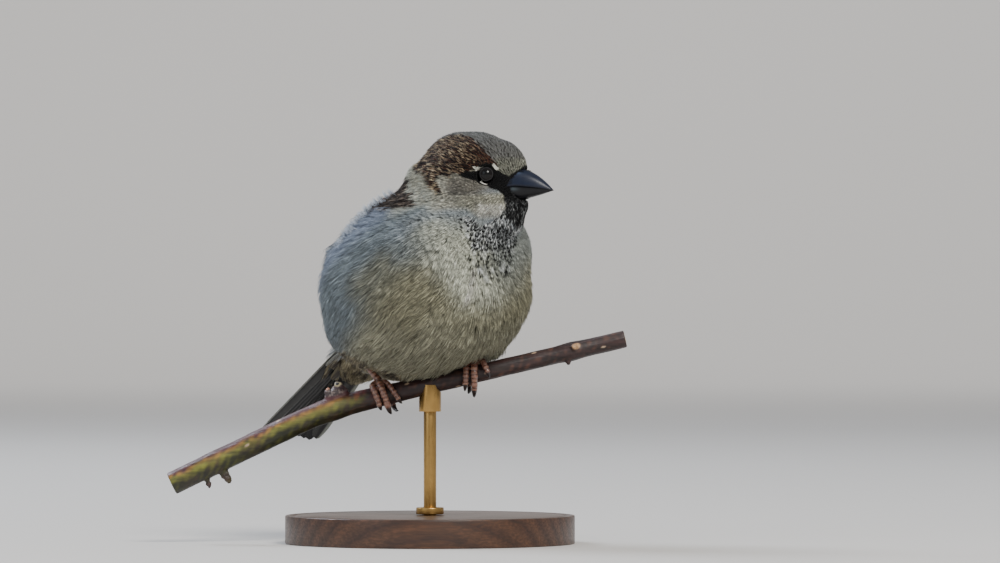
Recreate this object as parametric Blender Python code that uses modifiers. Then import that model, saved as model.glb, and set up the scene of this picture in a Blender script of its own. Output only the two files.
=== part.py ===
"""A male house sparrow in winter plumage, life size, gripping a cut length of twig on a display stand.

Metres, +Z up. The origin is the centre of the stand's underside, +X runs along the twig to its thin
end, and the bird looks towards -Y and +X. The bird is laid out in a frame of its own: x forward,
y to its left, z up, from the point where the twig's axis passes between the feet.
"""

import math

import bmesh
import bpy
from mathutils import Matrix, Vector
from mathutils.bvhtree import BVHTree

MM = 0.001
GAP = 0.3 * MM

# Driving dimensions
PERCH_HEIGHT = 50 * MM
BIRD_HEADING = math.radians(-50)
BODY_PITCH = math.radians(42)
HEAD_TURN = math.radians(28)
HEAD_CENTRE = Vector((19.5, 0, 68.6)) * MM
BODY_CENTRE = Vector((-3, 0, 33)) * MM

# Twig
TWIG_THICK_END = -82 * MM
TWIG_THIN_END = 62 * MM
TWIG_RISE = 0.4 * MM
TWIG_BEND = -33 * MM
TWIG_BEND_SOFTNESS = 4 * MM
TWIG_SLOPE = 0.235
TWIG_EXTRA_SLOPE = 0.247
TWIG_THIN_RADIUS = 2.75 * MM
TWIG_THICK_GAIN = 0.9 * MM

# Head and bill, in the head's own frame: x towards the bill, z up
EYE_CENTRE = Vector((8.0, 6.9, -2.2)) * MM
EYE_RADIUS = 2.5 * MM
BILL_ROOT = 14 * MM
BILL_LENGTH = 14.6 * MM
BILL_HALF_WIDTH = 4.3 * MM

# Tail
TAIL_ROOT = Vector((-24, 0, 20.5)) * MM
TAIL_LENGTH = 57 * MM
TAIL_DROOP = math.radians(40.5)
TAIL_SWING = math.radians(8)
TAIL_ROLL = math.radians(9)
TAIL_SPREAD = math.radians(6)
TAIL_ROOT_HALF_WIDTH = 6.5 * MM
TAIL_FEATHERS = 12
TAIL_THICKNESS = 1.0 * MM

# Feet
FOOT_OFFSET = 15.0 * MM
FOOT_HALF_SPAN = 6.4 * MM
TOE_RADIUS = 1.0 * MM
TARSUS_RADIUS = 1.05 * MM
TARSUS_LENGTH = 9 * MM
CLAW_CURL = math.radians(62)

# Stand
BASE_RADIUS = 46 * MM
BASE_THICKNESS = 9 * MM
ROD_RADIUS = 2 * MM
ROD_SEAT_DEPTH = 5 * MM
SADDLE_RADIUS = 3.5 * MM
SADDLE_LENGTH = 8.5 * MM
SADDLE_BORE = 3 * MM

SPINE = Vector((math.cos(BODY_PITCH), 0, math.sin(BODY_PITCH)))
DORSAL = Vector((-math.sin(BODY_PITCH), 0, math.cos(BODY_PITCH)))
BIRD_FRAME = Matrix.Translation((0, 0, PERCH_HEIGHT)) @ Matrix.Rotation(BIRD_HEADING, 4, "Z")
HEAD_FRAME = BIRD_FRAME @ Matrix.Translation(HEAD_CENTRE) @ Matrix.Rotation(HEAD_TURN, 4, "Z")
SIDES = {"right": -1, "left": 1}

COLOURS = {
    "plumage_grey": ((0.34, 0.33, 0.29), 0.8, 0.0),
    "crown": ((0.21, 0.17, 0.14), 0.8, 0.0),
    "wing_brown": ((0.20, 0.11, 0.06), 0.75, 0.0),
    "tail_brown": ((0.10, 0.08, 0.06), 0.75, 0.0),
    "bill_horn": ((0.035, 0.037, 0.045), 0.4, 0.0),
    "eye": ((0.012, 0.008, 0.006), 0.1, 0.0),
    "foot_skin": ((0.20, 0.11, 0.085), 0.55, 0.0),
    "claw_horn": ((0.03, 0.022, 0.02), 0.4, 0.0),
    "bark": ((0.12, 0.08, 0.07), 0.7, 0.0),
    "stand_wood": ((0.10, 0.055, 0.03), 0.45, 0.0),
    "stand_brass": ((0.55, 0.42, 0.2), 0.3, 1.0),
}


# ---------------------------------------------------------------- general helpers


def clear_scene():
    for obj in list(bpy.data.objects):
        bpy.data.objects.remove(obj)


def new_collection(name):
    collection = bpy.data.collections.new(name)
    bpy.context.scene.collection.children.link(collection)
    return collection


def material(name):
    """The named Principled material, made once."""
    if name in bpy.data.materials:
        return bpy.data.materials[name]
    colour, roughness, metallic = COLOURS[name]
    made = bpy.data.materials.new(name)
    made.use_nodes = True
    shader = made.node_tree.nodes["Principled BSDF"]
    shader.inputs["Base Color"].default_value = (*colour, 1)
    shader.inputs["Roughness"].default_value = roughness
    shader.inputs["Metallic"].default_value = metallic
    made.diffuse_color = (*colour, 1)
    return made


def add_part(name, mesh, slot, matrix=None):
    """Links a finished mesh as one sub-part, smooth except at sharp edges."""
    mesh.materials.clear()
    mesh.materials.append(material(slot))
    mesh.shade_smooth()
    mesh.set_sharp_from_angle(angle=math.radians(40))
    obj = bpy.data.objects.new(name, mesh)
    if matrix is not None:
        obj.matrix_world = matrix
    PARTS.objects.link(obj)
    return obj


def add_cutter(name, mesh, matrix=None):
    """Links a mesh that only cuts others."""
    obj = bpy.data.objects.new(name, mesh)
    if matrix is not None:
        obj.matrix_world = matrix
    obj.hide_render = True
    obj.display_type = "WIRE"
    CUTTERS.objects.link(obj)
    return obj


def cut(obj, *cutters):
    """Cuts the cutters from obj, one live Boolean for each."""
    for cutter in cutters:
        boolean = obj.modifiers.new("cut_" + cutter.name, "BOOLEAN")
        boolean.operation = "DIFFERENCE"
        boolean.solver = "EXACT"
        boolean.object = cutter


def mesh_from(name, bm):
    mesh = bpy.data.meshes.new(name)
    bm.to_mesh(mesh)
    bm.free()
    return mesh


def loft(name, rings):
    """A closed mesh through rings that have the same number of points, with a cap at each end."""
    bm = bmesh.new()
    rows = [[bm.verts.new(point) for point in ring] for ring in rings]
    count = len(rows[0])
    for here, there in zip(rows, rows[1:]):
        for i in range(count):
            j = (i + 1) % count
            bm.faces.new((here[i], here[j], there[j], there[i]))
    bm.faces.new(list(reversed(rows[0])))
    bm.faces.new(rows[-1])
    bmesh.ops.recalc_face_normals(bm, faces=bm.faces)
    bmesh.ops.triangulate(bm, faces=bm.faces)
    return mesh_from(name, bm)


def tube(name, points, radii, sides_level=2):
    """A capped tube along points, with its own radius at each, as a welded mesh."""
    curve = bpy.data.curves.new(name, "CURVE")
    curve.dimensions = "3D"
    curve.bevel_depth = 1.0
    curve.bevel_resolution = sides_level
    curve.use_fill_caps = True
    spline = curve.splines.new("POLY")
    spline.points.add(len(points) - 1)
    for place, point, radius in zip(spline.points, points, radii):
        place.co = (*point, 1)
        place.radius = radius
    holder = bpy.data.objects.new(name, curve)
    bpy.context.scene.collection.objects.link(holder)
    evaluated = holder.evaluated_get(bpy.context.evaluated_depsgraph_get())
    mesh = bpy.data.meshes.new_from_object(evaluated)
    bpy.data.objects.remove(holder)
    bm = bmesh.new()
    bm.from_mesh(mesh)
    bmesh.ops.remove_doubles(bm, verts=bm.verts, dist=0.01 * MM)
    bmesh.ops.recalc_face_normals(bm, faces=bm.faces)
    bm.to_mesh(mesh)
    bm.free()
    return mesh


def ellipsoid(bm, centre, radii, matrix=None, segments=28):
    """Adds a closed ellipsoid to bm, set in the frame that matrix gives."""
    place = (matrix or Matrix.Identity(4)) @ Matrix.Translation(centre)
    bmesh.ops.create_uvsphere(
        bm,
        u_segments=segments,
        v_segments=segments // 2,
        radius=1.0,
        matrix=place @ Matrix.Diagonal((*radii, 1)),
    )


def smooth_step(x):
    x = min(1.0, max(0.0, x))
    return x * x * (3 - 2 * x)


def blend_points(points, t):
    """A point at t from 0 to 1 along a smooth Catmull-Rom curve through the points."""
    spans = len(points) - 1
    i = min(int(t * spans), spans - 1)
    u = t * spans - i
    a = points[max(i - 1, 0)]
    b, c = points[i], points[i + 1]
    d = points[min(i + 2, spans)]
    return 0.5 * (
        b * 2
        + (c - a) * u
        + (a * 2 - b * 5 + c * 4 - d) * u * u
        + (b * 3 - a - c * 3 + d) * u * u * u
    )


# ---------------------------------------------------------------- the twig and its stand


def twig_axis(x):
    """The twig's centreline above the world's x, bending at its old shoot."""
    soft = TWIG_BEND_SOFTNESS
    bend = math.log1p(math.exp((TWIG_BEND - x) / soft)) * soft
    return Vector((x, 0, PERCH_HEIGHT + TWIG_RISE + TWIG_SLOPE * x - TWIG_EXTRA_SLOPE * bend))


def twig_tangent(x):
    step = 0.5 * MM
    return (twig_axis(x + step) - twig_axis(x - step)).normalized()


def twig_radius(x):
    return TWIG_THIN_RADIUS + TWIG_THICK_GAIN / (1 + math.exp((x + 14 * MM) / (9 * MM)))


def twig_tube(name, grow, first, last, count):
    places = [first + (last - first) * i / (count - 1) for i in range(count)]
    return tube(name, [twig_axis(x) for x in places], [twig_radius(x) + grow for x in places], 3)


def twig_side(x, turn):
    """A unit direction out of the twig at x, turned from its top towards -Y."""
    along = twig_tangent(x)
    up = Vector((-along.z, 0, along.x))
    return up * math.cos(turn) + Vector((0, -1, 0)) * math.sin(turn)


def knob(name, x, turn, reach, width, lean=0.0):
    """A short shoot or bud that stands out of the twig, its foot a small gap clear of the bark."""
    out = (twig_side(x, turn) + twig_tangent(x) * lean).normalized()
    foot = twig_axis(x) + out * (twig_radius(x) - 0.4 * MM)
    stations = [(0.0, 1.15), (0.4, 0.95), (0.8, 0.75), (1.0, 0.4)]
    points = [foot + out * reach * t for t, _ in stations]
    mesh = tube(name, points, [width * w for _, w in stations], 1)
    obj = add_part(name, mesh, "bark")
    cut(obj, bpy.data.objects["twig_clearance"])
    return obj


def build_twig():
    length = TWIG_THIN_END - TWIG_THICK_END
    add_cutter(
        "twig_clearance",
        twig_tube("twig_clearance", GAP, TWIG_THICK_END - 0.1 * length, TWIG_THIN_END + 0.1 * length, 28),
    )
    add_part("perch_twig", twig_tube("perch_twig", 0, TWIG_THICK_END, TWIG_THIN_END, 25), "bark")
    knob("perch_shoot_stub", -32.5 * MM, math.radians(10), 4.4 * MM, 1.7 * MM, 0.15)
    knob("perch_shoot_scar", -29.0 * MM, math.radians(-25), 3.4 * MM, 1.3 * MM, 0.3)
    knob("perch_bud", 46.0 * MM, math.radians(72), 1.9 * MM, 1.3 * MM)
    knob("perch_bud_scale", 43.2 * MM, math.radians(165), 1.7 * MM, 1.0 * MM)
    knob("perch_thorn_thick", -67.6 * MM, math.radians(172), 4.8 * MM, 1.5 * MM, 0.12)
    knob("perch_thorn_thin", -72.0 * MM, math.radians(176), 3.4 * MM, 0.9 * MM, -0.1)


def cylinder(name, radius, low, high, segments, centre=(0, 0)):
    bm = bmesh.new()
    bmesh.ops.create_cone(
        bm,
        cap_ends=True,
        segments=segments,
        radius1=radius,
        radius2=radius,
        depth=high - low,
        matrix=Matrix.Translation((*centre, (low + high) / 2)),
    )
    return mesh_from(name, bm)


def build_stand():
    base = add_part("stand_base", cylinder("stand_base", BASE_RADIUS, 0, BASE_THICKNESS, 48), "stand_wood")
    edge = base.modifiers.new("rounded_edge", "BEVEL")
    edge.width = 1.6 * MM
    edge.segments = 2
    edge.limit_method = "ANGLE"
    edge.angle_limit = math.radians(60)
    seat_floor = BASE_THICKNESS - ROD_SEAT_DEPTH
    seat = add_cutter(
        "rod_seat",
        cylinder("rod_seat", ROD_RADIUS + GAP, seat_floor, BASE_THICKNESS + ROD_SEAT_DEPTH, 24),
    )
    cut(base, seat)
    saddle_top = twig_axis(0).z
    saddle_foot = saddle_top - SADDLE_LENGTH
    add_part(
        "stand_rod",
        cylinder("stand_rod", ROD_RADIUS, seat_floor + GAP, saddle_foot + SADDLE_BORE - GAP, 24),
        "stand_brass",
    )
    collar = add_part(
        "stand_collar",
        cylinder("stand_collar", 2.2 * ROD_RADIUS, BASE_THICKNESS + GAP, BASE_THICKNESS + 2.5 * MM, 32),
        "stand_brass",
    )
    cut(collar, seat)
    saddle = add_part(
        "stand_saddle", cylinder("stand_saddle", SADDLE_RADIUS, saddle_foot, saddle_top, 32), "stand_brass"
    )
    bore_top = saddle_foot + SADDLE_BORE
    bore = add_cutter("rod_bore", cylinder("rod_bore", ROD_RADIUS + GAP, saddle_foot - SADDLE_BORE, bore_top, 24))
    cut(saddle, bpy.data.objects["twig_clearance"], bore)


# ---------------------------------------------------------------- the feathered body


def pitched(angle):
    """A frame turned nose up by this angle, about the bird's left."""
    return Matrix.Rotation(-angle, 4, "Y")


def add_mass(bm, centre, radii, pitch=0.0, frame=None):
    """One soft mass of the plumage, in millimetres in its frame."""
    base = (frame or BIRD_FRAME) @ Matrix.Translation(Vector(centre) * MM) @ pitched(pitch)
    ellipsoid(bm, (0, 0, 0), Vector(radii) * MM, base)


def plumage_masses(bm):
    """The fluffed winter outline, out to the feather tips."""
    tail_pitch = TAIL_DROOP
    add_mass(bm, BODY_CENTRE / MM, (37, 32, 27), BODY_PITCH)
    add_mass(bm, (8.3, 0, 39.5), (24.5, 30.6, 20.5), BODY_PITCH)
    add_mass(bm, (-2.2, 0, 30), (34.2, 34.6, 26))
    add_mass(bm, (-4, 0, 20.7), (30.5, 32.5, 18.2), math.radians(4))
    add_mass(bm, (-13, 0, 16), (19, 19, 14), math.radians(20))
    add_mass(bm, (-23, 0, 27), (20, 13, 9.5), tail_pitch)
    add_mass(bm, (-27, 0, 13.5), (20, 9, 8.5), math.radians(38))
    add_mass(bm, (6, 0, 54), (17, 18, 15), BODY_PITCH)
    add_mass(bm, (12, 0, 58), (15, 14.5, 12), math.radians(50))


def head_masses(bm):
    """The head with its feathers lying over the skull, in the head's frame."""
    add_mass(bm, (-2.5, 0, 0.3), (13, 12.2, 12), 0, HEAD_FRAME)
    add_mass(bm, (2.3, 0, -1.6), (14.7, 9.5, 14), 0, HEAD_FRAME)
    add_mass(bm, (9.2, 0, -1.8), (11, 6.2, 10.6), 0, HEAD_FRAME)
    for side in SIDES.values():
        add_mass(bm, (-0.5, 4.2 * side, -6.5), (11, 7.6, 8), 0, HEAD_FRAME)
    add_mass(bm, (10.3, 0, -11), (10.4, 6.4, 8.2), 0, HEAD_FRAME)
    add_mass(bm, (4.5, 0, -12), (13, 9.5, 9), math.radians(20), HEAD_FRAME)
    add_mass(bm, (-7, 0, -5), (13, 12, 12.5), math.radians(50), HEAD_FRAME)


def fused_plumage():
    """All the masses as one smooth closed mesh in the world's frame."""
    bm = bmesh.new()
    plumage_masses(bm)
    head_masses(bm)
    holder = bpy.data.objects.new("plumage_form", mesh_from("plumage_form", bm))
    bpy.context.scene.collection.objects.link(holder)
    fuse = holder.modifiers.new("fuse", "REMESH")
    fuse.mode = "VOXEL"
    fuse.voxel_size = 0.9 * MM
    soften = holder.modifiers.new("soften", "SMOOTH")
    soften.factor = 0.5
    soften.iterations = 26
    thin = holder.modifiers.new("thin", "DECIMATE")
    thin.ratio = 0.042
    evaluated = holder.evaluated_get(bpy.context.evaluated_depsgraph_get())
    mesh = bpy.data.meshes.new_from_object(evaluated)
    bpy.data.objects.remove(holder)
    return mesh


def half_of(mesh, point, normal, keep_above):
    """The part of a closed mesh on one side of a plane, with the cut closed."""
    bm = bmesh.new()
    bm.from_mesh(mesh)
    geometry = list(bm.verts) + list(bm.edges) + list(bm.faces)
    bmesh.ops.bisect_plane(
        bm,
        geom=geometry,
        plane_co=point,
        plane_no=normal,
        clear_inner=keep_above,
        clear_outer=not keep_above,
    )
    rim = [edge for edge in bm.edges if edge.is_boundary]
    bmesh.ops.holes_fill(bm, edges=rim, sides=0)
    bmesh.ops.triangulate(bm, faces=bm.faces)
    half = mesh_from(mesh.name, bm)
    return half


def parting_planes():
    """The thin cuts that part head from neck and neck from trunk, in the world's frame."""
    planes = {}
    for name, centre, tilt in (
        ("head", Vector((12.5, 0, 57.5)), math.radians(22)),
        ("neck", Vector((8.5, 0, 50.5)), math.radians(30)),
    ):
        point = BIRD_FRAME @ (centre * MM)
        normal = BIRD_FRAME.to_3x3() @ Vector((math.sin(tilt), 0, math.cos(tilt)))
        planes[name] = (point, normal)
    return planes


def build_flesh():
    """Head, neck and trunk, parted from one form, and that form itself."""
    whole = fused_plumage()
    planes = parting_planes()
    head_point, head_normal = planes["head"]
    neck_point, neck_normal = planes["neck"]
    half_gap = GAP / 2
    head_mesh = half_of(whole, head_point + head_normal * half_gap, head_normal, True)
    below = half_of(whole, head_point - head_normal * half_gap, head_normal, False)
    neck_mesh = half_of(below, neck_point + neck_normal * half_gap, neck_normal, True)
    trunk_mesh = half_of(below, neck_point - neck_normal * half_gap, neck_normal, False)
    head = add_part("head", head_mesh, "crown")
    neck = add_part("neck", neck_mesh, "plumage_grey")
    trunk = add_part("trunk", trunk_mesh, "plumage_grey")
    return trunk, neck, head, whole


# ---------------------------------------------------------------- bill and eyes


def bill_culmen(t):
    return (0.6 - 7.4 * t**2.155) * MM


def bill_seam(t):
    return (-5.3 - 1.5 * t * t) * MM


def bill_gonys(t):
    return (-6.85 - 3.3 * (1 - t**1.5)) * MM


def bill_width(t):
    return BILL_HALF_WIDTH * (1 - t**1.6) ** 0.8 + 0.18 * MM


def mandible(name, far_edge, sign, grow=0.0):
    """Half of the bill as a loft of D-shaped sections. far_edge is its outer profile."""
    arc_points = 11
    stations = 11
    rings = []
    for i in range(stations):
        t = (i / (stations - 1)) ** 0.85
        seam = bill_seam(t) + sign * (GAP / 2 - grow)
        depth = max(sign * (far_edge(t) - bill_seam(t)), 0.35 * MM) + 2 * grow
        width = bill_width(t) + grow
        x = BILL_ROOT + BILL_LENGTH * t + (grow if i == stations - 1 else 0) - (grow if i == 0 else 0)
        ring = []
        for k in range(arc_points):
            angle = math.pi * k / (arc_points - 1)
            lift = math.sin(angle) ** 0.9
            ring.append(Vector((x, width * math.cos(angle), seam + sign * depth * lift)))
        rings.append(ring)
    return loft(name, rings)


def build_bill(head):
    for name, far_edge, sign in (("bill_upper", bill_culmen, 1), ("bill_lower", bill_gonys, -1)):
        add_part(name, mandible(name, far_edge, sign), "bill_horn", HEAD_FRAME)
        cutter = add_cutter(name + "_socket", mandible(name + "_socket", far_edge, sign, GAP), HEAD_FRAME)
        cut(head, cutter)


def build_eyes(head):
    for side, sign in SIDES.items():
        centre = Vector((EYE_CENTRE.x, EYE_CENTRE.y * sign, EYE_CENTRE.z))
        ball = bmesh.new()
        ellipsoid(ball, centre, Vector((1, 1, 1)) * EYE_RADIUS, None, 14)
        add_part("eye_" + side, mesh_from("eye_" + side, ball), "eye", HEAD_FRAME)
        hollow = bmesh.new()
        ellipsoid(hollow, centre, Vector((1, 1, 1)) * (EYE_RADIUS + GAP), None, 12)
        cut(head, add_cutter("socket_" + side, mesh_from("socket_" + side, hollow), HEAD_FRAME))


# ---------------------------------------------------------------- tail


def tail_axes():
    """Directions down the tail, to its left and out of its upper side, in the bird's frame."""
    turn = Matrix.Rotation(TAIL_SWING, 3, "Z")
    along = turn @ Vector((-math.cos(TAIL_DROOP), 0, -math.sin(TAIL_DROOP)))
    across = Matrix.Rotation(TAIL_ROLL, 3, along) @ turn @ Vector((0, 1, 0))
    return along, across, across.cross(along)


def tail_mesh(name, grow=0.0, laps=(-0.12, 0.12)):
    """The folded fan of tail feathers, each lapping over the next one out, with a notched tip."""
    along, across, up = tail_axes()
    rows = 5
    half = TAIL_FEATHERS // 2
    rings = []
    for row in range(rows):
        t = row / (rows - 1)
        top = []
        bottom = []
        for k in range(-half, half + 1):
            for lap in laps:
                edge = (k + lap) / half
                if abs(edge) > 0.999:
                    edge = math.copysign(1 + grow / TAIL_ROOT_HALF_WIDTH, edge)
                out = abs(edge)
                angle = edge * TAIL_SPREAD
                nearest = abs(k + math.copysign(0.5, lap))
                notch = 1 - 0.03 * math.exp(-((out / 0.3) ** 2)) - 0.03 * smooth_step((out - 0.75) / 0.3)
                reach = (TAIL_LENGTH + (grow if t > 0 else 0)) * t * notch
                side = edge * TAIL_ROOT_HALF_WIDTH + math.sin(angle) * reach
                step = 0.2 * MM * (half - nearest) / 2
                arch = -1.3 * MM * out * out
                thick = TAIL_THICKNESS * (1.25 - 0.5 * t) / 2
                centre = TAIL_ROOT + along * (reach * math.cos(angle)) + across * side
                centre -= along * (grow if t == 0 else 0)
                top.append(centre + up * (arch + step + thick + grow))
                bottom.append(centre + up * (arch + step - thick - grow))
        rings.append(top + list(reversed(bottom)))
    return loft(name, rings)


def build_tail(trunk):
    add_part("tail", tail_mesh("tail"), "tail_brown", BIRD_FRAME)
    cut(trunk, add_cutter("tail_seat", tail_mesh("tail_seat", 1.6 * GAP, (0.0,)), BIRD_FRAME))


# ---------------------------------------------------------------- wings


WING_STATIONS = (
    # Along the spine from the body's centre, turn from the back's middle in degrees, shift outwards,
    # half width, height of the underside over what it lies on: all but the turn in millimetres
    (15.0, 19.0, 0.0, 2.0, -0.9),
    (12.0, 22.0, 0.0, 4.8, -1.1),
    (6.0, 25.5, 0.0, 7.4, -1.2),
    (-2.0, 28.5, 0.0, 8.6, -1.2),
    (-10.0, 29.0, 0.0, 9.0, -1.1),
    (-17.0, 27.0, 0.3, 8.6, -1.0),
    (-24.0, 21.0, 1.8, 7.4, -0.6),
    (-31.0, 12.0, 3.8, 6.0, 0.1),
    (-38.0, 5.0, 4.6, 4.4, 0.45),
    (-45.0, 0.0, 4.4, 2.9, 0.45),
    (-51.0, 0.0, 4.1, 1.2, 0.45),
)
WING_NODES = {"coverts": (0.0, 0.42, 6), "secondaries": (0.42, 0.66, 4), "primaries": (0.66, 1.0, 6)}


def wing_station(t):
    """The wing's sizes at t, from 0 at its bend to 1 at its tip."""
    rows = [Vector(row[:3]) for row in WING_STATIONS]
    sizes = [Vector((row[3], row[4], 0)) for row in WING_STATIONS]
    return (*blend_points(rows, t), *blend_points(sizes, t)[:2])


def wing_ring(surface, sign, t, grow):
    """One lens-shaped section of the folded wing, laid on the body and the tail under it."""
    across_points = 7
    along, turn, shift, half_width, lift = wing_station(t)
    angle = math.radians(turn)
    out = DORSAL * math.cos(angle) + Vector((0, sign, 0)) * math.sin(angle)
    across = DORSAL * -math.sin(angle) + Vector((0, sign, 0)) * math.cos(angle)
    centre = BODY_CENTRE + (SPINE * along + across * shift) * MM
    to_world = BIRD_FRAME.to_3x3()
    to_bird = BIRD_FRAME.inverted()
    thick = 1.9 - 1.1 * t
    height = 0.0
    upper = []
    lower = []
    for k in range(across_points):
        v = 2 * k / (across_points - 1) - 1
        offset = v * half_width * MM
        start = BIRD_FRAME @ (centre + across * offset + out * 60 * MM)
        hit = surface.ray_cast(start, to_world @ -out)[0]
        if hit is not None:
            height = (to_bird @ hit - centre).dot(out)
        if abs(v) > 0.99:
            offset += math.copysign(grow, v)
        point = centre + across * offset + out * height
        body = math.sqrt(max(1 - v * v, 0))
        edge = 0.6 * MM + grow
        floor = lift * (0.35 + 0.65 * body) if lift < 0 else lift
        lower.append(point + out * (floor * MM - grow))
        upper.append(lower[-1] + out * (thick * body * MM + edge + grow))
    return upper + list(reversed(lower))


def wing_places(section):
    """Where the rings of one stretch of the wing stand, leaving a thin gap before the next."""
    first, last, count = WING_NODES[section]
    if last < 1:
        last -= 0.005
    return [first + (last - first) * i / (count - 1) for i in range(count)]


def wing_mesh(name, surface, sign, places, grow=0.0):
    """A stretch of the folded wing."""
    rings = [wing_ring(surface, sign, t, grow) for t in places]
    for ring, pull in ((rings[0], grow), (rings[-1], -grow)):
        ring[:] = [point + SPINE * pull for point in ring]
    return loft(name, rings)


def resting_surface(whole):
    """What the wings lie on: the plumage and the tail, in the world's frame."""
    bm = bmesh.new()
    bm.from_mesh(whole)
    tail = tail_mesh("tail_form")
    tail.transform(BIRD_FRAME)
    bm.from_mesh(tail)
    bpy.data.meshes.remove(tail)
    surface = BVHTree.FromBMesh(bm)
    bm.free()
    return surface


def build_wings(trunk, neck, whole):
    surface = resting_surface(whole)
    for side, sign in SIDES.items():
        every_place = []
        for section in WING_NODES:
            name = f"wing_{side}_{section}"
            places = wing_places(section)
            every_place += places
            add_part(name, wing_mesh(name, surface, sign, places), "wing_brown", BIRD_FRAME)
        seat = wing_mesh(f"wing_seat_{side}", surface, sign, every_place, GAP)
        cutter = add_cutter(f"wing_seat_{side}", seat, BIRD_FRAME)
        cut(trunk, cutter)
        cut(neck, cutter)


# ---------------------------------------------------------------- legs and feet


TOES = {
    # Start and end angle round the twig in degrees; then in millimetres the side steps at root and
    # tip, the straight end and the claw's length; and the thickness as a share of TOE_RADIUS
    "right": {
        "outer": (34, 116, -2.3, -1.7, 0.8, 2.6, 0.95),
        "middle": (34, 112, 0.0, 0.9, 2.6, 3.8, 1.08),
        "inner": (34, 98, 2.4, 5.2, 0.9, 2.5, 0.8),
        "hind": (-34, -140, 0.4, 2.4, 0.6, 4.2, 1.0),
    },
    "left": {
        "inner": (34, 112, -2.4, -3.9, 0.9, 3.2, 0.92),
        "middle": (34, 112, 0.0, -1.1, 2.4, 3.8, 1.05),
        "outer": (34, 90, 2.4, 3.5, 0.6, 2.5, 0.86),
        "hind": (-34, -140, -0.4, -3.0, 0.6, 4.2, 1.0),
    },
}


def toe_route(foot_x, values):
    """Centreline of one toe over the twig, from its root to its last joint, in the world's frame."""
    start, end, root_step, tip_step, straight, _, share = values
    clearance = TOE_RADIUS * share * 1.1 + GAP
    points = []
    count = 7
    for i in range(count):
        t = i / (count - 1)
        angle = math.radians(start + (end - start) * t)
        x = foot_x + (root_step + (tip_step - root_step) * t) * MM
        points.append(twig_axis(x) + twig_side(x, angle) * (twig_radius(x) + clearance))
    heading = (points[-1] - points[-2]).normalized()
    heading = (heading + Vector((0, 0, -0.25))).normalized()
    points.append(points[-1] + heading * straight * MM)
    return points


def knuckles(t):
    """Slight swellings at the toe's joints."""
    return 1.0 + 0.10 * math.cos(2 * math.pi * t * 2.5) ** 2


def claw_route(points, length):
    """Centreline of the claw that carries on from a toe and curls towards the twig."""
    heading = (points[-1] - points[-2]).normalized()
    inward = (twig_axis(points[-1].x) - points[-1]).normalized()
    inward = (inward - heading * inward.dot(heading)).normalized()
    start = points[-1] + heading * GAP
    radius = length / CLAW_CURL
    route = []
    for i in range(5):
        bend = CLAW_CURL * i / 4
        route.append(start + heading * math.sin(bend) * radius + inward * (1 - math.cos(bend)) * radius)
    return route


def build_toe(side, toe, foot_x):
    values = TOES[side][toe]
    points = toe_route(foot_x, values)
    count = len(points)
    thickness = TOE_RADIUS * values[6]
    radii = [thickness * (1.0 - 0.22 * i / (count - 1)) * knuckles(i / (count - 1)) for i in range(count)]
    name = f"toe_{side}_{toe}"
    add_part(name, tube(name, points, radii, 1), "foot_skin")
    claw = claw_route(points, values[5] * MM)
    radii = [0.62 * thickness * (1 - 0.62 * (i / 4) ** 1.3) for i in range(5)]
    name = f"claw_{side}_{toe}"
    add_part(name, tube(name, claw, radii, 1), "claw_horn")


def tarsus_heading(side):
    """The lower leg leans back and out from the foot, into the belly feathers."""
    lean = {"right": Vector((-0.60, 0.38, 0.70)), "left": Vector((-0.20, 0.62, 0.76))}
    return lean[side].normalized()


def build_leg(side, sign, trunk):
    foot_x = FOOT_OFFSET * sign
    for toe in TOES[side]:
        build_toe(side, toe, foot_x)
    sole = twig_axis(foot_x) + twig_side(foot_x, 0) * (twig_radius(foot_x) + GAP + 1.35 * MM)
    heading = tarsus_heading(side)
    stations = [0.0, 0.12, 0.3, 0.6, 0.85, 1.0]
    widths = [1.25, 1.2, 1.0, 0.92, 1.0, 1.05]
    points = [sole + heading * TARSUS_LENGTH * t for t in stations]
    radii = [TARSUS_RADIUS * w for w in widths]
    name = "tarsus_" + side
    add_part(name, tube(name, points, radii), "foot_skin")
    room = tube(name + "_room", points + [points[-1] + heading * GAP], [1.75 * MM] * 7)
    grip_room = twig_tube(
        f"grip_room_{side}", 2.3 * TOE_RADIUS + 2 * GAP, foot_x - FOOT_HALF_SPAN, foot_x + FOOT_HALF_SPAN, 3
    )
    cut(trunk, add_cutter(name + "_room", room), add_cutter(f"grip_room_{side}", grip_room))


# ---------------------------------------------------------------- assembly


clear_scene()
PARTS = new_collection("house_sparrow")
CUTTERS = new_collection("cutters")

build_twig()
build_stand()
trunk, neck, head, whole = build_flesh()
build_bill(head)
build_eyes(head)
build_tail(trunk)
build_wings(trunk, neck, whole)
for side, sign in SIDES.items():
    build_leg(side, sign, trunk)
cut(trunk, bpy.data.objects["twig_clearance"])
bpy.data.meshes.remove(whole)
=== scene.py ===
"""Cock house sparrow gripping a cut twig, on a turned display stand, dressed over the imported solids."""

import logging
import math
from dataclasses import dataclass, field
from enum import Enum
from functools import cache
from typing import Callable, Sequence

import bmesh
import bpy
import numpy as np
from mathutils import Matrix, Vector
from mathutils.bvhtree import BVHTree
from mathutils.kdtree import KDTree


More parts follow.
